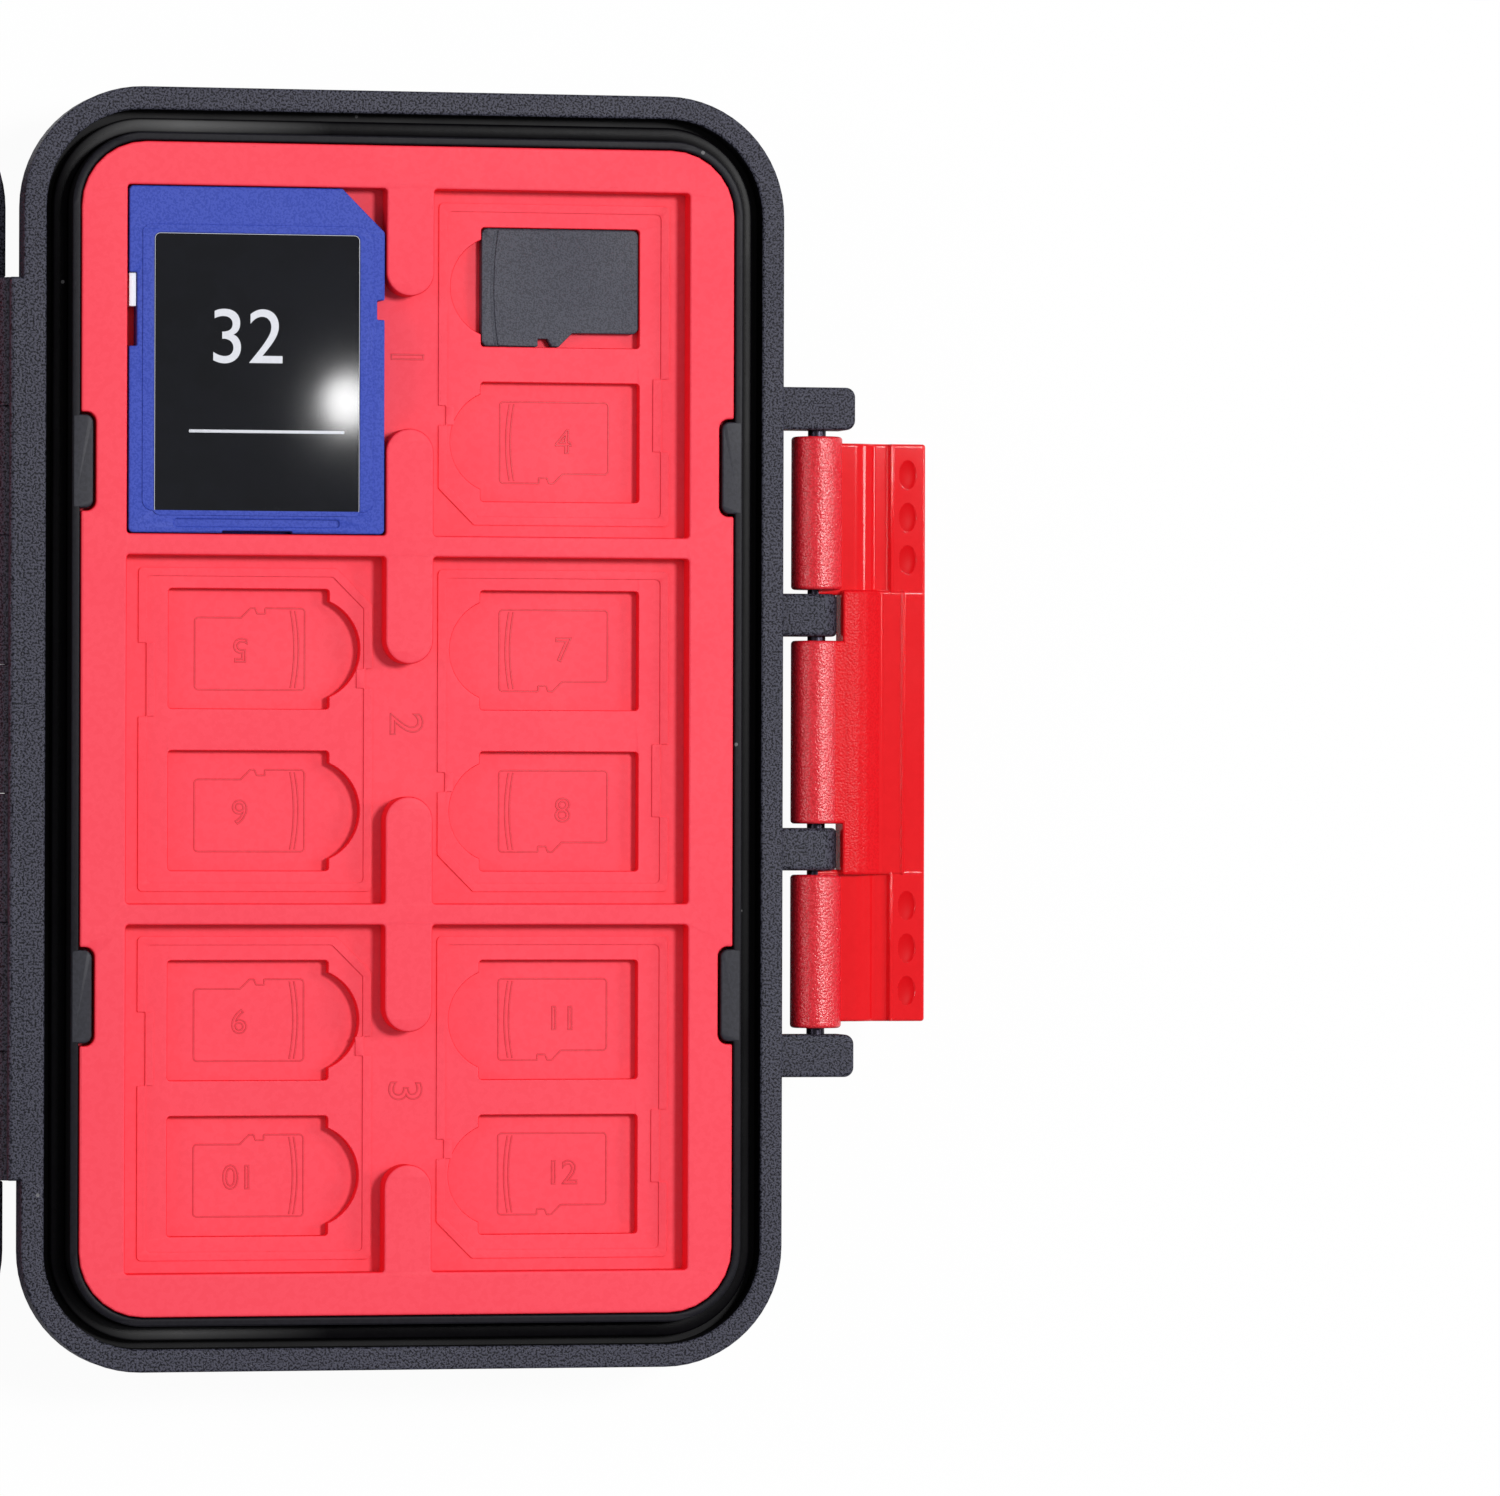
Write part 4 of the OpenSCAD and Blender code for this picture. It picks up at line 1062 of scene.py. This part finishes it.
def makeCard():
    k, seam, high, bed = card, card["seam"], card["high"], card["seam"] + card["bedLow"]
    step = high - k["frameRise"]
    rear = flatPiece("rear", [cardPoints(cardEdge(0))], k["low"], seam, k["edgeRound"])
    finishedPiece("cardRear", rear, ["cardBlue"], "sd_card", "sd_shell", "sd_rear_shell")
    gripped = cardEdge(0)
    gripped[1:1] = k["grip"]
    slot, slotBed = cardPoints(roundedRect(*k["slot"])), cardPoints(roundedRect(*k["slotBed"]))
    front = [
        flatPiece("front", [cardPoints(gripped), labelPoints("hole"), slot], seam, step,
                  k["edgeRound"]),
        flatPiece("bed", [labelPoints("bed")], bed, high - k["bedDrop"], k["bedRound"], 1),
        flatPiece("slotBed", [slotBed], bed, step - k["slotDrop"], k["bedRound"], 1),
        flatPiece("frame", [cardPoints(k["frameEdge"]), labelPoints("frame")],
                  step - k["frameSunk"], high, k["frameRound"]),
    ]
    finishedPiece("cardFront", joined(front), ["cardBlue"], "sd_card", "sd_shell", "sd_front_shell")
    label = flatPiece("label", [labelPoints("label")], high - k["labelLow"], high - k["labelDrop"],
                      k["labelRound"], 1)
    finishedPiece("cardLabel", label, ["labelGloss"], "sd_card", "label", "sd_label")
    place = (k["x"] + k["numberX"], k["y"] + k["numberY"], high - k["numberDrop"])
    ink = [
        numberMesh(k["number"], k["numberSize"], place),
        lineBeads([(labelPoints("line"), True)], high - k["lineDrop"], k["lineRadius"]),
        flatPiece("bar", [cardPoints(roundedRect(*k["bar"]))], high - k["barLow"],
                  high - k["barDrop"], k["barRound"], 1),
    ]
    finishedPiece("cardLabelInk", joined(ink), ["labelInk"], "sd_card", "label")


def makeSlider():
    bm = bmesh.new()
    bmesh.ops.create_cube(bm, size=1.0)
    low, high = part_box("sd_lock_slider")
    middle = [(a + b) / 2 for a, b in zip(low, high)]
    bmesh.ops.scale(bm, verts=bm.verts, vec=[b - a for a, b in zip(low, high)])
    bmesh.ops.bevel(bm, geom=list(bm.edges), offset=mm(card["sliderRound"]), segments=2,
                    affect="EDGES", profile=0.5, material=-1)
    outer = [f for f in bm.faces if f.normal.x < -0.9]
    bmesh.ops.inset_region(bm, faces=outer, thickness=mm(card["sliderInset"]),
                           depth=-mm(card["sliderSunk"]))
    bmesh.ops.translate(bm, verts=bm.verts, vec=middle)
    finishedPiece("cardSlider", bm, ["sliderWhite"], "sd_lock", "slider", "sd_lock_slider")


makeCard()
makeSlider()
print("full-size card made")


# Small card: a moulded body with a raised grip at its wide end and a raised field
smallCard = {
    "x": 14.7, "y": 41.35, "low": 11.87, "high": 12.87, "edgeRound": 0.1, "rise": 0.09,
    "raisedLow": 0.3, "raisedRound": 0.06, "bowX": -6.2, "bowDepth": 0.4, "bowReach": 5.4,
    "fieldGap": 0.3,
    "edge": [(-7.5, -5.5, 0.6), (-2.1, -5.5, 0.15), (-2.1, -4.75, 0.1), (-1.2, -4.75, 0.1),
             (-0.75, -5.5, 0.15), (-0.1, -5.5, 0.2), (1.2, -4.2, 0.2), (7.5, -4.2, 0.6),
             (7.5, 5.5, 0.6), (-7.5, 5.5, 0.6)],
    "gripCorners": [(-7.45, -5.45, 0.5), (-7.45, 5.45, 0.5)],
    "fieldCorners": [(-0.75, -5.45, 0.15), (-0.1, -5.45, 0.2), (1.2, -4.17, 0.2),
                     (7.45, -4.17, 0.5), (7.45, 5.4, 0.5)],
}


def makeSmallCard():
    k, top = smallCard, smallCard["high"]
    outline = cardPoints(k["edge"], k)
    body = [flatPiece("small", [outline], k["low"], top - k["rise"], k["edgeRound"])]
    bow = [(x, y, 0) for x, y in bowLine(k["bowX"], k["bowDepth"], k["bowReach"])]
    grip = k["gripCorners"][:1] + bow + k["gripCorners"][1:]
    field = [(x + k["fieldGap"], y, r) for x, y, r in reversed(bow)]
    field += k["edge"][1:4] + k["fieldCorners"]
    for items in (grip, field):
        outline = cardPoints(items, k)
        body.append(flatPiece("raised", [outline], top - k["raisedLow"], top, k["raisedRound"]))
    finishedPiece("smallCardBody", joined(body), ["smallCardGrey"], "microsd_card", "micro_body",
                  "microsd_body")


makeSmallCard()
print("small card made")


bareNodes = {
    "hinge_pin": "darkSteel", "latch_pin": "darkSteel", "sd_board": "boardGreen",
    "sd_contacts": "goldPads", "microsd_contacts": "goldPads",
}
for node, look in bareNodes.items():
    nodes[node].data.materials.clear()
    nodes[node].data.materials.append(finishes[look])
print("pins, board and contact pads painted")
